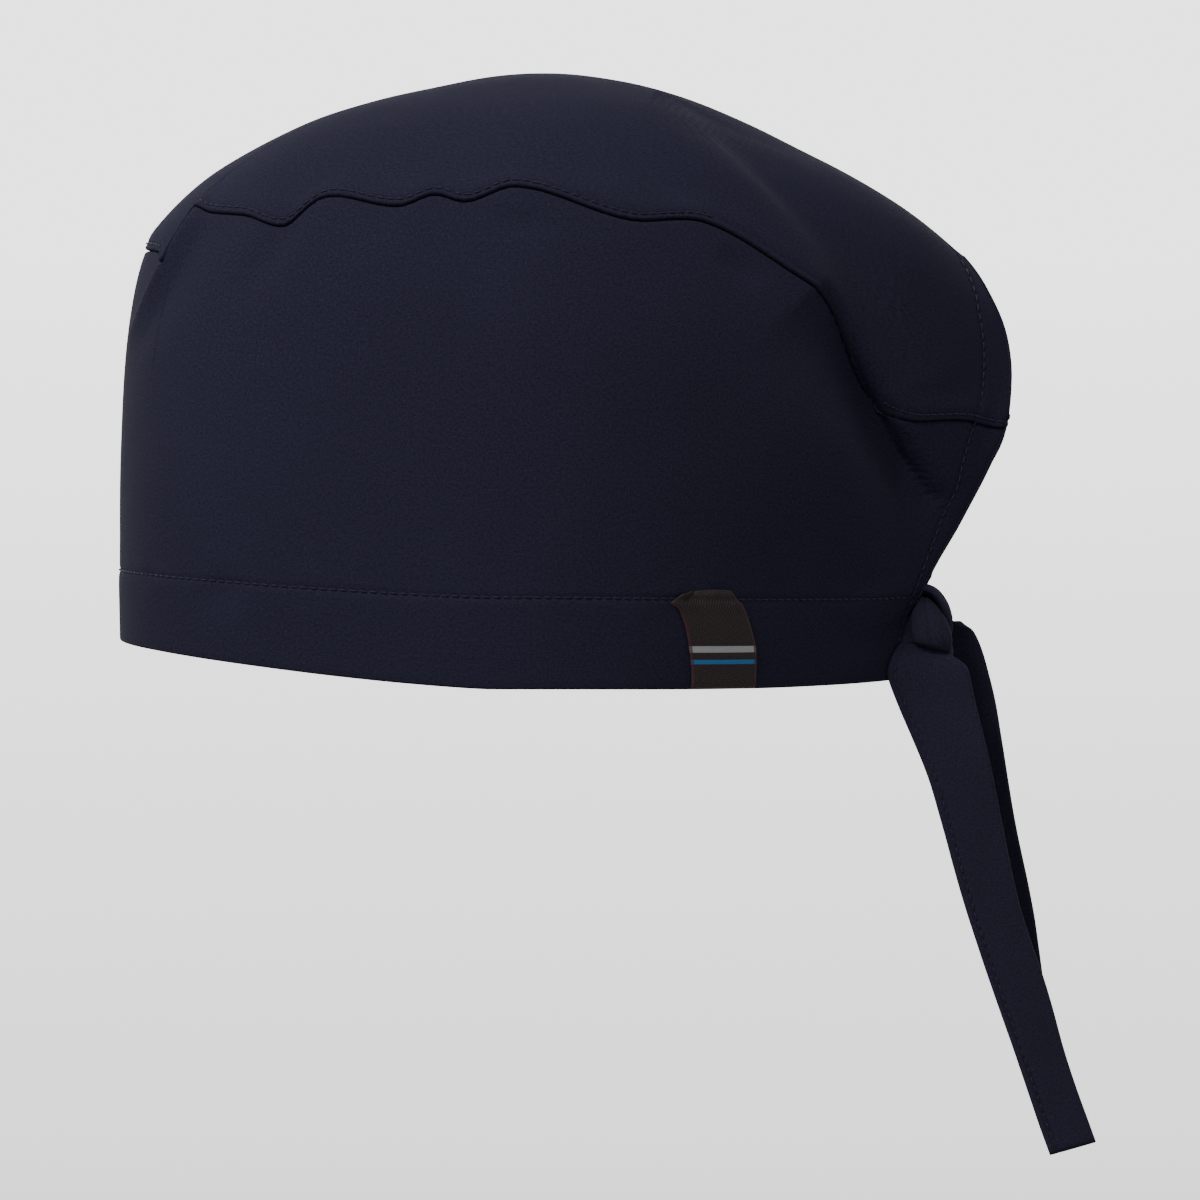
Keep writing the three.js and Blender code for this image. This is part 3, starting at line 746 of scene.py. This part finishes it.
def cloth_uv(turn, up):
    """Cloth coordinates in metres, round the cap and up it."""
    _, _, per_turn, per_up = cloth_frame(turn, up)
    across = np.zeros_like(per_turn)
    step = np.diff(turn, axis=1) * (per_turn[:, 1:] + per_turn[:, :-1]) / 2
    across[:, 1:] = np.cumsum(step, axis=1)
    middle = across[:, across.shape[1] // 2][:, None]
    rise = np.zeros_like(per_up)
    rise[1:] = np.cumsum(np.diff(up, axis=0) * (per_up[1:] + per_up[:-1]) / 2, axis=0)
    return np.stack([(across - middle) * MM, rise * MM], -1)


# Mesh rows of the side panel, close together under the seam and on both sides of the hem stitches,
# in millimetres below the seam and above the hem stitches.
ROWS_UNDER_SEAM = np.array([0.0, 0.08, 0.25, 0.5, 0.85, 1.3, 1.9, 2.7, 3.8, 5.2, 7.0])
ROWS_BY_HEM = np.array([3.4, 2.6, 1.9, 1.4, 1.0, 0.6, 0.3, 0.0, -0.3, -0.6, -1.0, -1.4, -2.0, -3.0])
SEAM_ROLL_RADIUS = 1.3
SEAM_ROLL_DEPTH = 1.15         # share of the radius that the rolled edge sinks
HEM_FOLD_RADIUS = 0.75
HEM_PLY_RISE = 0.012           # how far up past the stitches the turned-in ply ends
HEM_PLY_ROW = 1.8              # millimetres of cloth between its rows


def side_panel_levels(turns):
    """Levels of the side panel's rows, from the seam down to the rim."""
    _, _, _, seam_rise = cloth_frame(turns, seam_up(turns))
    _, _, _, hem_rise = cloth_frame(turns, np.full_like(turns, HEM_UP))
    top = seam_up(turns)[None, :] - ROWS_UNDER_SEAM[:, None] / seam_rise[None, :]
    hem = HEM_UP + ROWS_BY_HEM[:, None] / hem_rise[None, :]
    share = np.linspace(0, 1, 45)[1:-1, None]
    body = top[-1] * (1 - share) + hem[0] * share
    low = hem[-1] * np.linspace(1, 0, 11)[1:, None]
    return np.concatenate([top, body, hem, low])


def turned_in_ply(turns, points, normals, uvs):
    """Rows that turn in under the rim and run back up inside as a second ply, with their uvs."""
    fold = HEM_FOLD_RADIUS
    edge, normal, down = points[-1], normals[-1], unit(points[-1] - points[-2])
    under = [edge + down * fold * math.sin(t) - normal * fold * (1 - math.cos(t))
             for t in np.linspace(0, math.pi, 7)[1:]]
    up = np.linspace(0.0, HEM_UP + HEM_PLY_RISE, 12)[1:, None] * np.ones_like(turns)
    inner, _ = cap_surface(np.tile(turns, (len(up), 1)), up, -2 * fold)
    rows = np.concatenate([np.array(under), inner])
    drop = np.zeros((len(rows), len(turns), 2))
    drop[..., 1] = (np.arange(1, len(rows) + 1) * HEM_PLY_ROW * MM)[:, None]
    return rows, uvs[-1][None] - drop


class CAP_OT_side_panel(Operator):
    """Side panel with its turned-up hem, one cloth from the crown seam to the inside of the hem"""
    bl_idname = "scrub_cap.side_panel"
    bl_label = "Side panel and hem"

    def execute(self, context):
        turns = column_turns()
        up = side_panel_levels(turns)
        turn = np.tile(turns, (len(up), 1))
        drop = np.full(up.shape, FAR)
        drop[:len(ROWS_UNDER_SEAM)] = ROWS_UNDER_SEAM[:, None]
        inside = np.clip(SEAM_ROLL_RADIUS - drop, 0, SEAM_ROLL_RADIUS)
        sunk = SEAM_ROLL_RADIUS - np.sqrt(np.maximum(SEAM_ROLL_RADIUS**2 - inside**2, 0))
        points, normals = cap_surface(turn, up, -sunk * SEAM_ROLL_DEPTH)
        uvs = cloth_uv(turn[::-1], up[::-1])[::-1]
        ply, ply_uvs = turned_in_ply(turns, points, normals, uvs)
        panel = grid_object("side_panel_cloth", np.concatenate([points, ply]),
                            np.concatenate([uvs, ply_uvs]), flip=True)
        thicken(panel, context.scene.cap_cloth.thickness)
        finish_piece(panel, material("cloth"), ("side_panel", "hem_band"))
        return {"FINISHED"}


# Mesh rows of the crown panel above the seam, in millimetres, and the shape of its lapped edge.
ROWS_OVER_SEAM = np.array([0.0, 0.06, 0.2, 0.45, 0.8, 1.3, 1.7, 2.1, 3.0, 4.2, 5.5, 7.0])
CROWN_ROWS = 64
LAP_HEIGHT = 0.45
LAP_WIDTH = 5.2
LAP_EDGE_RADIUS = 0.5
LAP_EDGE_DEPTH = 3.4           # how many times its radius the edge turns down
STITCH_LINE_DEPTH = 0.22


class CAP_OT_crown(Operator):
    """Crown panel, its edge lapped flat over the seam allowance"""
    bl_idname = "scrub_cap.crown"
    bl_label = "Crown panel"

    def execute(self, context):
        turns = column_turns()
        _, _, _, per_up = cloth_frame(turns, seam_up(turns))
        low_rows = seam_up(turns)[None, :] + ROWS_OVER_SEAM[:, None] / per_up[None, :]
        share = np.linspace(0, 1, CROWN_ROWS + 1)[1:, None]
        body = low_rows[-1] * (1 - share) + 2.0 * share
        up = np.concatenate([low_rows, body])
        turn = np.tile(turns, (len(up), 1))
        rise = np.concatenate([ROWS_OVER_SEAM, np.full(CROWN_ROWS, FAR)])[:, None] * np.ones_like(turns)
        edge = np.clip(LAP_EDGE_RADIUS - rise, 0, LAP_EDGE_RADIUS)
        lap = LAP_HEIGHT / (1 + np.exp((np.minimum(rise, 30) - LAP_WIDTH) / 0.7))
        lap -= LAP_EDGE_DEPTH * (LAP_EDGE_RADIUS - np.sqrt(np.maximum(LAP_EDGE_RADIUS**2 - edge**2, 0)))
        # The topstitch pulls a shallow line in the lapped edge.
        lap -= STITCH_LINE_DEPTH * np.exp(-((rise - 1.7) / 0.45) ** 2)
        points, _ = cap_surface(turn, up, lap)
        crown = grid_object("crown_panel_cloth", points, cloth_uv(turn, up))
        thicken(crown, context.scene.cap_cloth.thickness)
        finish_piece(crown, material("cloth"), ("crown_panel",))
        return {"FINISHED"}


# A slit hem in section. Columns: millimetres in from the edge, offset out from the outer face.
SLIT_HEM = np.array([(9.6, -1.5), (7.5, -1.5), (5.0, -1.5), (2.5, -1.5), (1.0, -1.45), (0.2, -1.3),
                     (-0.35, -0.95), (-0.5, -0.45), (-0.3, 0.05), (0.2, 0.25), (0.8, 0.28)])
SLIT_LENGTH_PER_UP = 0.11      # metres of slit for each unit of up


class CAP_OT_back_hems(Operator):
    """Turned-in hems of the slit at the nape, left and right"""
    bl_idname = "scrub_cap.back_hems"
    bl_label = "Slit hems"

    def execute(self, context):
        cloth = context.scene.cap_cloth
        levels = np.linspace(0.004, SLIT_TOP_UP - 0.01, 90)
        for side, name in ((1, "left"), (-1, "right")):
            inset = np.tile(np.maximum(SLIT_HEM[:, 0], 0.0), (len(levels), 1))
            up = np.tile(levels[:, None], (1, len(SLIT_HEM)))
            turn = turn_at_slit_distance(inset, up)
            over = np.minimum(SLIT_HEM[:, 0], 0.0)
            points, normal = cap_surface(turn * side, up, np.tile(SLIT_HEM[:, 1], (len(levels), 1)))
            inner, _ = cap_surface(turn_at_slit_distance(np.full_like(inset, 2.0), up) * side, up)
            rim, _ = cap_surface(turn_at_slit_distance(np.zeros_like(inset), up) * side, up)
            points = points + unit(inner - rim) * over[None, :, None]
            uvs = np.stack([np.tile(SLIT_HEM[:, 0] * MM, (len(levels), 1)),
                            np.tile((levels * SLIT_LENGTH_PER_UP)[:, None], (1, len(SLIT_HEM)))], -1)
            strip = grid_object(f"slit_hem_{name}", points, uvs, flip=(side > 0))
            thicken(strip, cloth.thickness)
            finish_piece(strip, material("cloth"))
        return {"FINISHED"}


# How each line of stitches sits. Columns: lift off the cloth and slant, in millimetres.
HEM_SEAT, CROWN_SEAT, SLIT_SEAT, TIE_SEAT = (0.16, 0.10), (0.42, 0.08), (0.12, 0.08), (0.05, 0.05)
LAST_STITCH_TURN = 178.5


class CAP_OT_topstitching(Operator):
    """Topstitching of the hem, the crown seam and the slit"""
    bl_idname = "scrub_cap.topstitching"
    bl_label = "Topstitching"

    def execute(self, context):
        sew = context.scene.cap_stitch
        pitch, length, radius = sew.pitch / MM, sew.length / MM, sew.radius / MM
        turn = np.linspace(-LAST_STITCH_TURN, LAST_STITCH_TURN, 1500)
        path, normal = cap_surface(turn, np.full_like(turn, HEM_UP))
        thread_run("hem_topstitch", stitches_along(path, normal, pitch, length, *HEM_SEAT),
                   material("thread"), radius)
        parts = []
        stops = [-LAST_STITCH_TURN, *(stop for gap in ROLLED_UNDER for stop in gap), LAST_STITCH_TURN]
        for start, stop in zip(stops[::2], stops[1::2]):
            turn = np.linspace(start, stop, round((stop - start) * 4))
            _, _, _, per_up = cloth_frame(turn, seam_up(turn))
            path, normal = cap_surface(turn, seam_up(turn) + sew.seam_inset / MM / per_up)
            parts.append(stitches_along(path, normal, pitch, length, *CROWN_SEAT))
        stitches = tuple(np.concatenate(part) for part in zip(*parts))
        thread_run("crown_topstitch", stitches, material("thread"), radius)
        for side, name in ((1, "left"), (-1, "right")):
            up = np.linspace(0.01, SLIT_TOP_UP - 0.02, 500)
            turn = turn_at_slit_distance(np.interp(up, SLIT_STITCH[:, 0], SLIT_STITCH[:, 1]), up) * side
            path, normal = cap_surface(turn, up)
            thread_run(f"slit_topstitch_{name}", stitches_along(path, normal, pitch, length, *SLIT_SEAT),
                       material("thread"), radius)
        return {"FINISHED"}


# Ties: edges seen from the side in millimetres and how far out they hang.
# Columns: lead (Y, Z), trail (Y, Z), lead X, trail X.
TIE_LEFT = [
    ((106.6, -12.0), (113.6, -12.6), 8.6, 8.2),
    ((104.9, -13.4), (119.6, -15.2), 11.4, 10.2),
    ((103.2, -17.0), (123.6, -18.4), 12.6, 11.2),
    ((102.7, -20.8), (124.8, -22.6), 12.9, 11.4),
    ((105.4, -28.4), (126.2, -28.8), 12.7, 11.0),
    ((113.2, -47.0), (130.4, -46.2), 12.0, 10.4),
    ((117.8, -62.0), (133.6, -61.0), 11.6, 9.2),
    ((124.5, -85.4), (138.7, -84.6), 11.0, 7.6),
    ((132.0, -108.0), (146.1, -107.0), 10.4, 6.2),
    ((140.0, -131.0), (152.7, -129.2), 10.0, 5.0),
    ((148.2, -154.2), (160.4, -151.6), 9.8, 4.4),
]
TIE_RIGHT = [
    ((110.0, -7.0), (121.8, -6.6), -6.0, -3.6),
    ((110.5, -10.0), (126.2, -8.2), -8.6, -6.4),
    ((112.0, -15.0), (129.2, -13.4), -10.4, -8.4),
    ((113.6, -22.0), (131.6, -21.2), -11.4, -9.4),
    ((115.4, -30.0), (133.6, -29.6), -11.6, -9.6),
    ((119.5, -41.0), (135.4, -40.8), -11.4, -9.0),
    ((125.4, -62.0), (138.8, -62.0), -10.6, -7.8),
    ((132.0, -87.3), (143.9, -87.3), -9.6, -6.4),
    ((138.0, -112.6), (147.4, -112.4), -8.6, -5.2),
    ((142.4, -128.0), (151.0, -127.0), -8.0, -4.6),
    ((146.2, -140.6), (154.6, -138.6), -7.6, -4.2),
]
TIE_STITCH_START = 8.0    # millimetres of tie hidden in the knot before its stitches show
TIE_STEPS = 160


def tie_edges(rows, count):
    """Leading and trailing edge curves of a tie."""
    table = np.array([(i, lx, lead[0], lead[1], tx, trail[0], trail[1])
                      for i, (lead, trail, lx, tx) in enumerate(rows)], float)
    at = spline_columns(table, np.linspace(0, len(rows) - 1, count))
    return at[:, :3], at[:, 3:]


class TieShape:
    """A flat folded tie: its edges, and its two faces with their soft waves and pressed lines."""

    def __init__(self, rows, thickness, wave_seed):
        self.lead, self.trail = tie_edges(rows, TIE_STEPS)
        across = self.trail - self.lead
        middle = np.gradient((self.lead + self.trail) / 2, axis=0)
        normal = unit(np.cross(across, middle))
        self.normal = normal * np.sign(normal[:, :1]) * np.sign(self.lead[:1, :1])
        self.width = np.linalg.norm(across, axis=-1)
        self.along = np.concatenate([[0], np.cumsum(np.linalg.norm(np.diff(self.lead, axis=0), axis=-1))])
        self.half = thickness / 2
        self.seed = wave_seed

    def face(self, share, outer):
        """Points of one face; share is 0 at the leading edge and 1 at the trailing one."""
        share = np.broadcast_to(share, (TIE_STEPS, np.shape(share)[-1]))
        from_lead = share * self.width[:, None]
        along = self.along[:, None]
        place = np.stack([along + 0 * share, 22 * share, 0 * share], -1)
        # The middle is a little fuller than the stitched edges.
        full = 1 + 0.25 * np.sin(np.pi * share) - 0.35 * np.exp(-((from_lead - 1.7) / 0.7) ** 2)
        # The fold over the knot leaves a rolled rim; the lower end shows the seam of the turned-in edge.
        rim = 0.55 * np.exp(-((along - 1.6) / 0.9) ** 2) - 0.45 * np.exp(-((along - 3.4) / 0.8) ** 2)
        turned = np.clip((along - 0.62 * self.along[-1]) / (0.38 * self.along[-1]), 0, 1)
        seam = -0.30 * np.minimum(turned * 6, 1) * np.exp(-((from_lead - 0.4 - 2.3 * turned) / 0.32) ** 2)
        wave = 0.45 * soft_noise(place, 34.0, self.seed) + 0.10 * soft_noise(place, 9.0, self.seed + 1)
        height = outer * (full * self.half) + wave + np.where(outer > 0, rim + seam, 0.0)
        centre = self.lead[:, None] * (1 - share[..., None]) + self.trail[:, None] * share[..., None]
        return centre + self.normal[:, None] * height[..., None]

    def edge_point(self, share, push):
        """The rounded edge between the two faces."""
        middle = (self.face(share, 1.0) + self.face(share, -1.0)) / 2
        return middle + unit(self.trail - self.lead)[:, None] * push * self.half


def tie_strap(name, shape):
    """The tie's closed mesh: out over one face, round the edge and back over the other."""
    near_edge = np.array([0.0, 0.03, 0.06, 0.09, 0.12, 0.15, 0.18, 0.22, 0.28, 0.35, 0.42])
    share = np.concatenate([near_edge, [0.5], 1 - near_edge[::-1]])[None, :]
    points = np.concatenate([
        shape.face(share, 1.0), shape.edge_point(np.array([[1.0]]), 1.0),
        shape.face(share[:, ::-1], -1.0), shape.edge_point(np.array([[0.0]]), -1.0)], axis=1)
    across = np.concatenate([share[0], [1.0], share[0, ::-1], [0.0]])
    uvs = np.stack([across[None, :] * shape.width[:, None] * MM,
                    np.tile((shape.along * MM)[:, None], (1, len(across)))], -1)
    obj = grid_object(name, points, uvs, wrap=True, weld=False)
    bm = bmesh.new()
    bm.from_mesh(obj.data)
    bmesh.ops.holes_fill(bm, edges=[e for e in bm.edges if e.is_boundary], sides=0)
    bmesh.ops.recalc_face_normals(bm, faces=bm.faces)
    bm.to_mesh(obj.data)
    bm.free()
    obj.data.shade_smooth()
    return obj


class CAP_OT_ties(Operator):
    """The two flat ties that hang from the knot, with their edge stitching"""
    bl_idname = "scrub_cap.ties"
    bl_label = "Ties"

    def execute(self, context):
        tie, sew = context.scene.cap_tie, context.scene.cap_stitch
        inset = tie.stitch_inset / MM
        # Columns: side, rows, CAD node, wave seed, whether the stitches run by the leading edge.
        for side, rows, node_name, seed, by_lead in (("left", TIE_LEFT, "tie_left", 5, True),
                                                     ("right", TIE_RIGHT, "tie_right", 6, False)):
            shape = TieShape(rows, tie.thickness / MM, seed)
            strap = tie_strap(f"tie_{side}_cloth", shape)
            finish_piece(strap, material("tie"), (node_name,))
            share = inset / shape.width[:, None]
            path = shape.face(share if by_lead else 1 - share, 1.0)[:, 0]
            shown = shape.along > TIE_STITCH_START
            stitches = stitches_along(path[shown], shape.normal[shown],
                                      sew.pitch / MM, sew.length / MM, *TIE_SEAT)
            thread = thread_run(f"tie_{side}_stitch", stitches, material("thread"), sew.radius / MM)
        return {"FINISHED"}


# The filling of the knot, as level sections. Columns: Z, front Y, back Y, half X.
KNOT = np.array([
    (-18.0, 111.5, 118.0, 3.6), (-16.6, 110.0, 120.6, 6.6), (-14.0, 109.6, 121.0, 8.4),
    (-11.0, 109.8, 120.2, 9.0), (-7.0, 110.2, 119.4, 9.0), (-3.0, 110.8, 117.8, 8.0),
    (0.6, 111.4, 115.8, 6.0), (2.6, 112.0, 114.2, 3.4),
])
# The strap that fans out over each side of the knot, narrow at the top.
# Columns: step, left X, Y, Z, right X, Y, Z, bulge.
KNOT_FACE = np.array([
    (0, 7.4, 111.8, 0.9, 7.4, 113.6, 0.8, 0.5),
    (1, 9.8, 110.2, -1.2, 9.2, 115.6, -1.0, 1.2),
    (2, 10.9, 108.9, -3.4, 10.0, 117.6, -3.6, 2.0),
    (3, 11.6, 108.5, -6.8, 10.4, 119.4, -7.0, 2.6),
    (4, 12.0, 108.9, -10.0, 10.8, 120.2, -10.8, 2.4),
    (5, 11.8, 109.5, -11.6, 10.4, 119.8, -13.8, 1.6),
    (6, 9.4, 110.4, -12.4, 8.8, 119.0, -14.8, 0.6),
])
# The end of the hem band, drawn into the knot on each side.
# Columns: step, front X, Y, Z, back X, Y, Z.
BAND_END = np.array([
    (0, 6.6, 109.6, 1.6, 6.8, 112.4, -0.4), (1, 7.4, 107.6, -2.8, 9.2, 111.0, -3.4),
    (2, 7.8, 105.4, -7.4, 10.0, 110.6, -6.8), (3, 8.2, 103.4, -12.0, 10.2, 110.6, -10.0),
    (4, 8.4, 102.4, -15.6, 9.4, 111.0, -13.0),
])
# The strap wrapped over the top and the back of the knot, seen from the side. Columns: step, Y, Z.
KNOT_WRAP = np.array([(0, 110.4, 2.4), (1, 112.4, 3.2), (2, 115.2, 2.2), (3, 117.4, -0.4), (4, 118.9, -3.8),
                      (5, 119.5, -7.6), (6, 119.0, -11.0)])
WRAP_HALF_WIDTH = 9.6
WRAP_HALF_THICKNESS = 1.5
KNOT_FACE_PLY = 0.0011
BAND_END_PLY = 0.0009
AROUND = np.linspace(0, 2 * math.pi, 73)[:-1]


def rounded(value, power):
    """A sine or cosine squared off a little, with its sign kept."""
    return np.sign(value) * np.abs(value) ** power


def capped(points):
    """Rings of points with a pole at each end, so that the mesh closes."""
    poles = [np.tile(ring.mean(0), (1, len(AROUND), 1)) for ring in (points[0], points[-1])]
    return np.concatenate([poles[0], points, poles[1]])


def between(left, right, share):
    """Rows of points from one edge curve to the other."""
    return left[:, None] * (1 - share)[None, :, None] + right[:, None] * share[None, :, None]


def strip_uv(share, width, rows, length):
    """Cloth coordinates of a strip whose width and length are in millimetres."""
    return np.stack([np.tile(share * width * MM, (rows, 1)),
                     np.tile((np.linspace(0, length, rows) * MM)[:, None], (1, len(share)))], -1)


def knot_core():
    """The filling of the knot, with the soft slanting ridges of plies pressed together."""
    table = np.column_stack([np.arange(len(KNOT)), KNOT])
    z, front, back, half_x = spline_columns(table, np.linspace(0, len(KNOT) - 1, 50)).T
    middle, half = (front + back) / 2, (back - front) / 2
    points = np.stack([half_x[:, None] * rounded(np.cos(AROUND), 0.85),
                       middle[:, None] + half[:, None] * rounded(np.sin(AROUND), 0.85),
                       z[:, None] + 0 * AROUND], -1)
    out = unit(points - points.mean((0, 1)))
    slant = (points[..., 2] + 0.55 * points[..., 0]) / 4.6
    ply = 0.45 * np.sin(2 * math.pi * slant) + 0.2 * soft_noise(points, 7.0, 12)
    points = capped(points + out * (ply * np.clip(half[:, None] / 3, 0, 1))[..., None])
    uvs = np.stack([np.tile(AROUND * 8 * MM, (len(points), 1)), points[..., 2] * MM], -1)
    core = grid_object("knot_core", points, uvs, wrap=True)
    finish_piece(core, material("tie"), ("tie_knot",))


def knot_wrap():
    """The wrap: a flat rounded section carried along its path over the top and the back."""
    c, s = np.cos(AROUND), np.sin(AROUND)
    path = spline_columns(KNOT_WRAP, np.linspace(0, 6, 44))
    heading = unit(np.gradient(path, axis=0))
    up = np.stack([0 * heading[:, 0], -heading[:, 1], heading[:, 0]], -1)
    taper = np.sin(np.pi * np.linspace(0.06, 0.97, 44)) ** 0.35
    width = WRAP_HALF_WIDTH * taper[:, None] * rounded(c, 0.6)
    crease = 0.22 * np.sin(width * 1.9 + 0.8) + 0.12 * np.sin(width * 3.7 + 2.0)
    thick = WRAP_HALF_THICKNESS * taper[:, None] * rounded(s, 0.8) + crease * (s > 0)
    spine = np.column_stack([np.zeros(len(path)), path])
    points = spine[:, None] + up[:, None] * thick[..., None]
    points[..., 0] += width
    points = capped(points)
    run = np.linspace(0, 20, len(points))[:, None]
    uvs = np.stack([np.broadcast_to(np.abs(AROUND - math.pi) * 6 * MM, points.shape[:2]),
                    np.broadcast_to(run * MM, points.shape[:2])], -1)
    wrap = grid_object("knot_wrap", points, uvs, wrap=True, flip=True)
    finish_piece(wrap, material("tie"))


def knot_face(side, name):
    """The strap over one side; its gathers fan out from the narrow top and fade downwards."""
    rows = spline_columns(KNOT_FACE, np.linspace(0, 6, 48))
    share = np.linspace(0, 1, 34)
    points = between(rows[:, 0:3], rows[:, 3:6], share)
    arc = np.sin(np.pi * share) ** 0.6
    gather = 0.30 * np.sin(share * 2 * math.pi * 3.2 + 0.6) + 0.16 * np.sin(share * 2 * math.pi * 5.3 + 2.0)
    fan = np.linspace(1.0, 0.25, 48)[:, None]
    points[..., 0] += rows[:, 6][:, None] * arc + (gather * np.sin(np.pi * share))[None, :] * fan
    points[..., 0] *= side
    face = grid_object(f"knot_face_{name}", points, strip_uv(share, 12, 48, 18), flip=(side > 0))
    thicken(face, KNOT_FACE_PLY)
    finish_piece(face, material("tie"))


def band_end(side, name):
    """The end of the hem band on one side, drawn into the knot."""
    rows = spline_columns(BAND_END, np.linspace(0, 4, 40))
    share = np.linspace(0, 1, 24)
    points = between(rows[:, 0:3], rows[:, 3:6], share)
    ripple = 0.28 * np.sin(np.linspace(0, 4, 40) * 4.4)[:, None]
    points[..., 0] += 0.5 * np.sin(np.pi * share) + ripple * share
    points[..., 0] *= side
    end = grid_object(f"band_end_{name}", points, strip_uv(share, 8, 40, 17), flip=(side > 0))
    thicken(end, BAND_END_PLY)
    finish_piece(end, material("tie"))


class CAP_OT_knot(Operator):
    """The knot at the nape: its filling, the strap wrapped over it and the strap fanned over each side"""
    bl_idname = "scrub_cap.knot"
    bl_label = "Knot"

    def execute(self, context):
        knot_core()
        knot_wrap()
        for side, name in ((1, "left"), (-1, "right")):
            knot_face(side, name)
            band_end(side, name)
        return {"FINISHED"}


# The tag, from inside the hem round under the rim and up the outside.
# Columns: step, left edge's turn and up, right edge's turn and up, lift off the hem in millimetres.
TAG = np.array([
    (0, 118.6, 0.060, 129.4, 0.060, -2.5), (1, 118.6, 0.020, 129.4, 0.020, -2.5),
    (2, 118.6, 0.002, 129.4, 0.002, -2.2), (3, 118.6, -0.004, 129.4, -0.004, -0.9),
    (4, 118.5, 0.002, 129.4, 0.002, 0.5), (5, 118.1, 0.030, 128.9, 0.030, 0.7),
    (6, 117.2, 0.070, 128.0, 0.070, 0.75), (7, 116.1, 0.108, 126.4, 0.108, 0.8),
    (8, 114.8, 0.138, 124.8, 0.142, 0.8), (9, 113.5, 0.152, 123.0, 0.166, 0.9),
    (10, 114.6, 0.166, 122.2, 0.178, 0.5),
])
TAG_PLY = 0.00045


class CAP_OT_tag(Operator):
    """The small woven tag folded over the hem"""
    bl_idname = "scrub_cap.tag"
    bl_label = "Woven tag"

    def execute(self, context):
        steps = np.linspace(0, 10, 72)
        rows = spline_columns(TAG, steps)
        share = np.linspace(0, 1, 32)
        turn = rows[:, 0][:, None] * (1 - share) + rows[:, 2][:, None] * share
        up = rows[:, 1][:, None] * (1 - share) + rows[:, 3][:, None] * share
        lift = rows[:, 4][:, None] + 0 * share
        # The sewn top edge is puckered, with its left corner turned up.
        high = np.clip((steps - 7.6) / 2.4, 0, 1)[:, None]
        up = up + 0.008 * high * np.sin(np.pi * share)[None, :] ** 0.6
        pucker = 0.45 * np.sin(share * 9.0 + 0.7) * np.sin(np.pi * share) + 0.9 * np.exp(-(share / 0.16) ** 2)
        crease = -0.7 * np.exp(-((share[None, :] - 0.30 + 0.10 * (10 - steps)[:, None]) / 0.05) ** 2)
        lift = lift + high * (pucker[None, :] + crease + 0.25)
        points, _ = cap_surface(turn, np.maximum(up, -0.02), lift)
        length = np.concatenate([[0], np.cumsum(np.linalg.norm(np.diff(points[:, 16], axis=0), axis=-1))])
        uvs = np.stack([np.tile(share * TAG_WIDTH, (len(steps), 1)),
                        np.tile(((length - 5.0) * MM)[:, None], (1, len(share)))], -1)
        tag = grid_object("woven_tag", points, uvs, weld=False)
        thicken(tag, TAG_PLY)
        finish_piece(tag, material("tag"), ("woven_label",))
        return {"FINISHED"}


class CAP_PT_build(Panel):
    """Lists the steps that build the cap"""
    bl_idname = "CAP_PT_build"
    bl_label = "Scrub cap"
    bl_space_type = "VIEW_3D"
    bl_region_type = "UI"
    bl_category = "Scrub cap"

    def draw(self, context):
        for settings in ("cap_cloth", "cap_stitch", "cap_tie", "cap_stage"):
            group = getattr(context.scene, settings)
            box = self.layout.box()
            for key in group.__annotations__:
                box.prop(group, key)
        for step in STEPS:
            self.layout.operator(step.bl_idname)


STEPS = (CAP_OT_stage, CAP_OT_side_panel, CAP_OT_crown, CAP_OT_back_hems, CAP_OT_topstitching,
         CAP_OT_knot, CAP_OT_ties, CAP_OT_tag)
SETTINGS = {"cap_cloth": CapClothSettings, "cap_stitch": CapStitchSettings,
            "cap_tie": CapTieSettings, "cap_stage": CapStageSettings}


def register():
    for cls in (*SETTINGS.values(), *STEPS, CAP_PT_build):
        bpy.utils.register_class(cls)
    for key, cls in SETTINGS.items():
        setattr(bpy.types.Scene, key, PointerProperty(type=cls))


def unregister():
    for key in SETTINGS:
        delattr(bpy.types.Scene, key)
    for cls in reversed((*SETTINGS.values(), *STEPS, CAP_PT_build)):
        bpy.utils.unregister_class(cls)


def main():
    register()
    bpy.ops.object.select_all(action="DESELECT")
    bpy.ops.scrub_cap.stage()
    bpy.ops.scrub_cap.side_panel()
    bpy.ops.scrub_cap.crown()
    bpy.ops.scrub_cap.back_hems()
    bpy.ops.scrub_cap.topstitching()
    bpy.ops.scrub_cap.knot()
    bpy.ops.scrub_cap.ties()
    bpy.ops.scrub_cap.tag()


if __name__ == "__main__":
    main()
